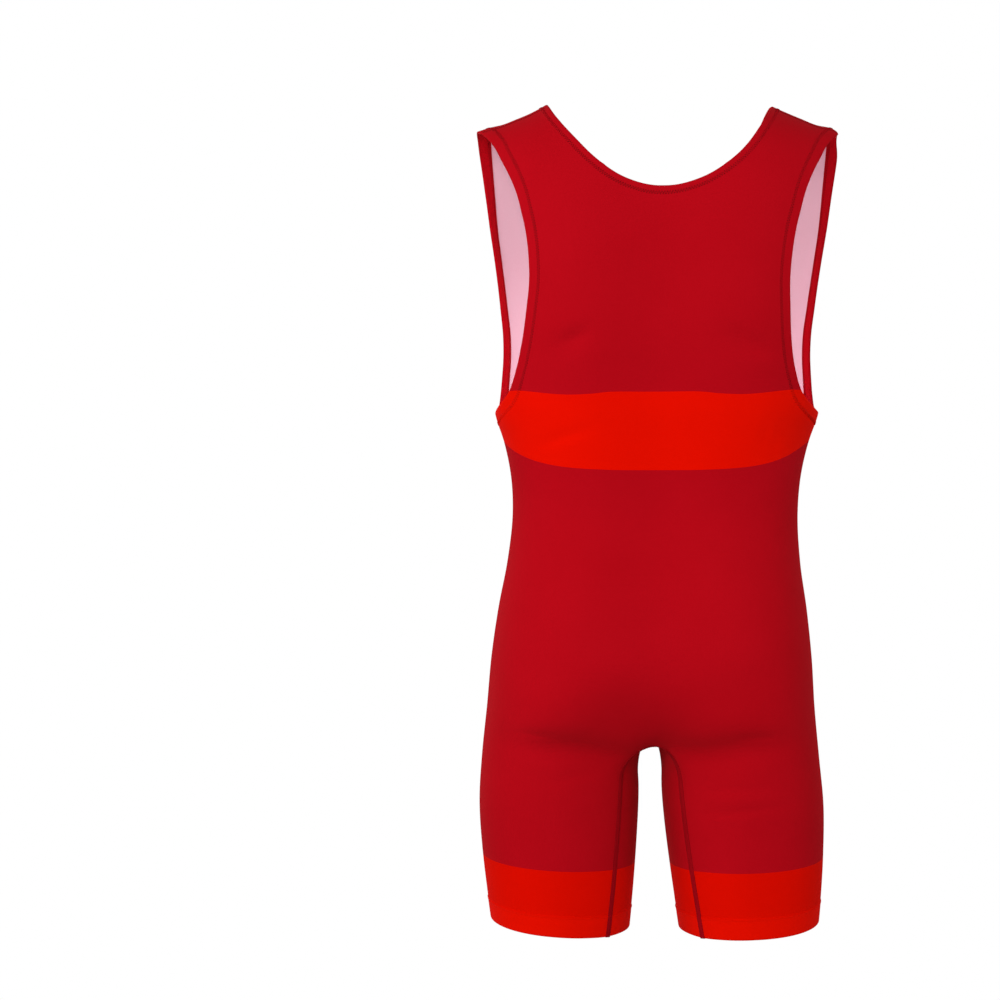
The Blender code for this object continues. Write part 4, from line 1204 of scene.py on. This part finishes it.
gusset = gusset_grid()
gusset_normal = -grid_normals(gusset)
gusset += ridge(0.0, gusset[:, 0, 2])[:, None, None] * gusset_normal
gusset[:, [0, -1]] -= SEAM_ROLL * gusset_normal[:, [0, -1]]
gusset[-1, :, 0] = 0.0
foot = turned_foot(gusset, gusset_normal)
grid = np.concatenate([foot[::-1], gusset])
faces = grid_faces(numbered(grid))[:, ::-1]
slots = printed(numbered(grid), -BEND_STEPS)[0]
uv = cloth_map(np.linspace(0.0, GUSSET_MAP_WIDTH, grid.shape[1]), grid[..., 2])
whole = mirrored("joined", grid.reshape(-1, 3), faces, slots, uv)
gusset_cloth = cloth_object("inner_leg_gusset", *whole, PANEL_FINISH)

# %% [markdown]
# ## Turned-in hems
#
# Inside every edge lies the layer that was turned in. It shows crimson through the armholes, because
# the dyed side of the cloth faces the wearer there. It is the panel's own line of points, moved in
# by one layer, and reaches from the bend to just past the line of stitches.

# %% Layers of the hems
HEM_DEEP = {"neck": 0.16, "armhole": 0.45}  # how far past the hem line, as a share of the hem's width
HEM_MAP_STEP, HEM_MAP_WIDTH = 0.0028, 0.01
WITHIN = (0.09, 0.0, 0.0)  # the upright line through this place runs inside the garment
SIDES = {"right": "alone", "left": "in its place"}  # the left one is the right one's mirror image


def ring_of(name):
    """The turned-in layer round one opening: the back's rows and then the front's, coming back."""
    rings = []
    for face in FACES:
        share = np.linspace(1.0, -HEM_DEEP[name], STRIP_CELLS + 1)
        t, run = short_of_edge(name, face, share, BEND_REACH + HEM_CLEAR)
        rings.append(cloth(face, t, run) - LAYER * outward(face, t, run))
    back, front = rings
    return np.concatenate([back, front[-2::-1] if name == "neck" else front[-2:0:-1]])


def leg_ring():
    """The leg hem's layer: back, gusset and front, from the bend up to the ridge, one layer in."""
    rings = []
    for row in range(0, HEM_TOP + 1, 2):
        panels = []
        for face in FACES:
            t, run = (values[row] for values in halves[face]["grid"])
            run = run + (BEND_REACH + HEM_CLEAR) * (1.0 - row / HEM_TOP)
            panels.append(cloth(face, t, run) - (LAYER - ridge(t, run)[:, None]) * outward(face, t, run))
        inner = gusset[row, 1:-1] - LAYER * gusset_normal[row, 1:-1]
        rings.append(np.concatenate([panels[0][::-1], inner, panels[1][:-1]]))
    return np.stack(rings, axis=1)


print("rows up a leg hem:", HEM_TOP // 2 + 1)


# %% Hems
def hem_object(node, rows, how, outside=crimson, slot="crimson_knit"):
    """A hem as thick cloth. rows run round the opening; the dyed side faces the line at WITHIN."""
    index, points = numbered(rows), rows.reshape(-1, 3)
    faces = grid_faces(index if how == "joined" else np.concatenate([index, index[:1]]))
    inwards = (WITHIN - points[faces].mean(axis=1)) * [1.0, 1.0, 0.0]
    if np.sum(quad_turns(points, faces) * inwards) < 0.0:
        faces = faces[:, ::-1]
    along = HEM_MAP_STEP * np.arange(len(rows))[:, None]
    uv = cloth_map(along, np.linspace(0.0, HEM_MAP_WIDTH, rows.shape[1]))
    whole = mirrored(how, points, faces, np.zeros(len(faces), dtype=int), uv)
    return cloth_object(node, *whole, [outside, white], slot)


neck_rows, arm_rows, leg_rows = ring_of("neck"), ring_of("armhole"), leg_ring()
neck_rows[[0, -1], :, 0] = 0.0
neck_hem = hem_object("neck_hem", neck_rows, "joined")
arm_hems = [hem_object(f"armhole_hem_{side}", arm_rows, how) for side, how in SIDES.items()]
leg_look = (scarlet, "scarlet_knit")
leg_hems = [hem_object(f"leg_hem_{side}", leg_rows, how, *leg_look) for side, how in SIDES.items()]

# %% [markdown]
# ## Stitches
#
# A zigzag stitch holds each hem, because it can stretch with the cloth. Every leg of the zigzag is
# a short piece of thread that dives into the cloth at both ends. Four points carry each leg, with
# a square of four corners round every point, which is few faces for something that is repeated
# over a thousand times. The thread is 0.6 mm thick, and the same zigzag shows inside on the hem.
# A zigzag's turns lie 2.7 mm apart along each side.

# %% Threads
THREAD_RADIUS = 0.00030
THREAD_RISE, THREAD_DIVE = 0.00018, -0.00030
PITCH = 0.0027
BAND_TOP_Z, BAND_FOOT_Z = -0.2850, -0.3653
OUTSIDE, INSIDE = 0.5 * WALL, -(LAYER + 0.5 * WALL)


def thread_mesh(name, nodes, normals, radius=THREAD_RADIUS, takes_print=False):
    """Tubes from node to node: four points each, at 0, 0.2, 0.8 and 1, the middle two raised.

    A tube has three stretches of four faces and two end faces. All but the middle stretch is sunk and
    takes the darker yarn, which is painted shade.
    """
    starts, ends, normals = nodes[:-1, None], nodes[1:, None], normals[:-1, None]
    steps = np.array([0.0, 0.2, 0.8, 1.0])[:, None]
    lift = np.array([THREAD_DIVE, THREAD_RISE, THREAD_RISE, THREAD_DIVE])[:, None]
    spine = starts * (1.0 - steps) + ends * steps + normals * lift
    turn = np.array([0.0, 0.5, 1.0, 1.5])[:, None] * np.pi
    ring = np.cos(turn) * normals + np.sin(turn) * unit(np.cross(ends - starts, normals))
    points = (spine[:, :, None] + radius * ring[:, None]).reshape(-1, 3)
    local = np.arange(16).reshape(4, 4)
    wrapped = np.concatenate([local, local[:, :1]], axis=1)
    one = np.concatenate([grid_faces(wrapped), [local[0, ::-1]], [local[3]]])
    faces = (one + 16 * np.arange(len(spine))[:, None, None]).reshape(-1, 4)
    faces = facing_away(points, faces, spine[0].mean(axis=0))
    height = 0.5 * (starts + ends)[:, 0, 2]
    on_band = takes_print & (height < BAND_TOP_Z) & (height > BAND_FOOT_Z)
    slots = (np.array([1] * 4 + [0] * 4 + [1] * 6) + 2 * on_band[:, None]).ravel()
    print(name, "threads on one side", len(spine))
    return mesh_object(name, *mirrored("copied", points, faces, slots), YARNS)


print("thread:", THREAD_RADIUS * 2000, "mm thick")


# %% Zigzags
def rails_of(name, low, high):
    """Two lines round an opening and the normals between them, up the back and down the front.

    low and high are shares of the way from the hem line to the edge.
    """
    sides = []
    for face in FACES:
        t, run = between(name, face, np.array([low, high, 0.5 * (low + high)]))
        points = cloth(face, t, run)
        sides.append((points[:, 0], points[:, 1], outward(face, t[:, 2], run[:, 2])))
    rails = [np.concatenate([back, front[::-1]]) for back, front in zip(*sides)]
    if name == "neck":  # both ends lie on the middle, where the mirror image goes on
        for rail in rails:
            rail[[0, -1], 0] = 0.0
    return rails


def zigzag(name, place, low, high, lift):
    """Zigzag thread: its nodes lie on one rail and the other in turn, half a pitch further on."""
    rails = rails_of(name, low, high)
    low_line, high_line, normal = even_steps(rails, 0.5 * (rails[0] + rails[1]), 0.5 * PITCH)
    odd = (np.arange(len(normal)) % 2 == 1)[:, None]
    normal = unit(normal)
    nodes = np.where(odd, high_line, low_line) + lift * normal
    return thread_mesh(f"{name}_zigzag_{place}", nodes, np.sign(lift) * normal, takes_print=lift > 0.0)


zigzags = [
    zigzag("armhole", "outside", -0.37, 0.02, OUTSIDE),
    zigzag("neck", "outside", -0.16, 0.31, OUTSIDE),
    zigzag("armhole", "inside", -0.37, 0.02, INSIDE),
    zigzag("neck", "inside", -0.13, 0.31, INSIDE),
]

# %% [markdown]
# ## Inseams
#
# The gusset is joined to the panels with flatlock seams, which lie flat so that they don't chafe:
# the two edges meet, and a band of threads 6 mm wide covers both. Two lines of stitches run along
# its sides.

# %% Inseam lines
FLAT_PROFILE = (  # pairs of (across, up)
    (-0.0030, 0.0004), (-0.0024, 0.00095), (-0.0009, 0.00105), (0.0009, 0.00105),
    (0.0024, 0.00095), (0.0030, 0.0004), (0.0030, -0.0004), (-0.0030, -0.0004),
)
BAND_STEP, STITCH_STEP = 0.0015, 0.0022
SEAM_POINTS = 1200  # along a seam before it is cut into even steps
STITCH_ACROSS, STITCH_UP, STITCH_RADIUS = 0.0027, 0.0008, 0.00028


def seam_path(face, spacing):
    """Points, sideways directions and normals along the +X half of an inseam, from hem to crotch."""
    rise = np.linspace(0.0, 1.0, SEAM_POINTS)
    height = LEG_HEM_RUN + (CROTCH_RUN - LEG_HEM_RUN) * (1.0 - (1.0 - rise) ** 2)
    line = seam_vectors(face, height)[0]
    line[-1, 0] = 0.0
    (line,) = even_steps([line], line, spacing)
    lean = seam_vectors(face, np.minimum(line[:, 2], CROTCH_RUN))[1]
    tangent = unit(np.gradient(line, axis=0))
    tangent[-1] = [-1.0, 0.0, 0.0]
    normal = unit(np.cross(tangent, lean)) * FACES[face].facing
    across = unit(np.cross(normal, tangent)) * FACES[face].facing
    return line + ridge(0.0, line[:, 2])[:, None] * normal, across, normal


print("length of half an inseam:", round(length_along(seam_path("back", BAND_STEP)[0])[-1], 4))


# %% Bands
def band_mesh(name, path, profile, material, how):
    """A closed band: each point of the path carries the profile, (across, up) from its line.

    An end is closed by quads between the profile's facing points. A joined band has no end at the
    middle of the garment.
    """
    line, across, normal = (part[:, None] for part in path)
    shape = np.array(profile)
    rows = line + shape[:, :1] * across + shape[:, 1:] * normal
    index, wide = numbered(rows), len(shape)
    k = np.arange(wide // 2 - 1)
    end = np.stack([k, k + 1, wide - 2 - k, wide - 1 - k], axis=1)
    ends = [end[:, ::-1]] if how == "joined" else [end[:, ::-1], end + index[-1, 0]]
    faces = np.concatenate([grid_faces(np.concatenate([index, index[:, :1]], axis=1)), *ends])
    points = rows.reshape(-1, 3)
    faces = facing_away(points, faces, rows[0].mean(axis=0))
    uv = cloth_map(shape[:, 0], BAND_STEP * np.arange(len(rows))[:, None])
    print(name, "points along", len(rows))
    whole = mirrored(how, points, faces, np.zeros(len(faces), dtype=int), uv)
    return mesh_object(name, *whole, [material])


print("quads that close a flat band:", len(FLAT_PROFILE) // 2 - 1)

# %% Inseam bands and stitches
for face in FACES:
    line, across, normal = seam_path(face, BAND_STEP)
    line[-1, 0] = across[-1, 0] = normal[-1, 0] = 0.0
    path = (line, across, normal)
    band_mesh(f"{face}_inseam_band", path, FLAT_PROFILE, seam_red, "joined")
    line, across, normal = seam_path(face, STITCH_STEP)
    for side, sign in (("gusset", -1.0), ("panel", 1.0)):
        nodes = line + sign * STITCH_ACROSS * across + STITCH_UP * normal
        thread_mesh(f"{face}_inseam_{side}_stitches", nodes, normal, STITCH_RADIUS)

# %% [markdown]
# ## Side and shoulder seams
#
# These seams are closed from the inside: a narrow tape of overlocked threads lies behind the two
# edges, and outside only a fine line shows.

# %% Side and shoulder seams
TAPE = 0.0030  # half the tape's width, and the step along it
TAPE_PROFILE = ((-TAPE, -0.0009), (TAPE, -0.0009), (TAPE, -0.0014), (-TAPE, -0.0014))
TAPE_FOOT_RUN, TAPE_TOP_RUN = LEG_HEM_RUN + 0.013, UNDERARM_RUN - 0.0015
side_run = np.arange(TAPE_FOOT_RUN, TAPE_TOP_RUN, TAPE)
side_line = cloth("back", 1.0, side_run)
to_side, to_front = (np.tile(axis, (len(side_run), 1)) for axis in np.eye(3)[:2])
side_tape = band_mesh("side_seam_tape", (side_line, to_front, to_side), TAPE_PROFILE, white, "copied")


def strap_line(run, neck_room, armhole_room, count):
    """(t, run) of a line straight across the back's strap, clear of both edges by a share."""
    ends = [np.interp(run, *halves["back"][name][::-1]) for name in BORDER]
    return np.linspace(ends[0] + neck_room, ends[1] - armhole_room, count), np.full(count, run)


on_seam = ("back", *strap_line(SHOULDER_RUN["back"], 0.012, 0.004, 30))
shoulder_path = (cloth(*on_seam), along_run(*on_seam), outward(*on_seam))
shoulder_tape = band_mesh("shoulder_seam_tape", shoulder_path, TAPE_PROFILE, white, "copied")

# %% [markdown]
# One line of straight stitches crosses each strap 18 mm behind the shoulder seam, where the seam's
# turned edges end, and holds them flat. It is pulled tight and lies in its own shade, so the whole line
# takes the darker yarn, which is painted shade.

# %% Shoulder topstitch
TOPSTITCH_BEHIND = 0.0180
TOPSTITCH_RADIUS = 0.00045
behind_seam = ("back", *strap_line(SHOULDER_RUN["back"] - TOPSTITCH_BEHIND, 0.010, 0.006, 33))
normals = outward(*behind_seam)
nodes = cloth(*behind_seam) + OUTSIDE * normals
topstitch = thread_mesh("shoulder_topstitch", nodes, normals, TOPSTITCH_RADIUS)
# the darker yarn on the whole line is painted shade
topstitch.data.materials[0] = YARNS[1]
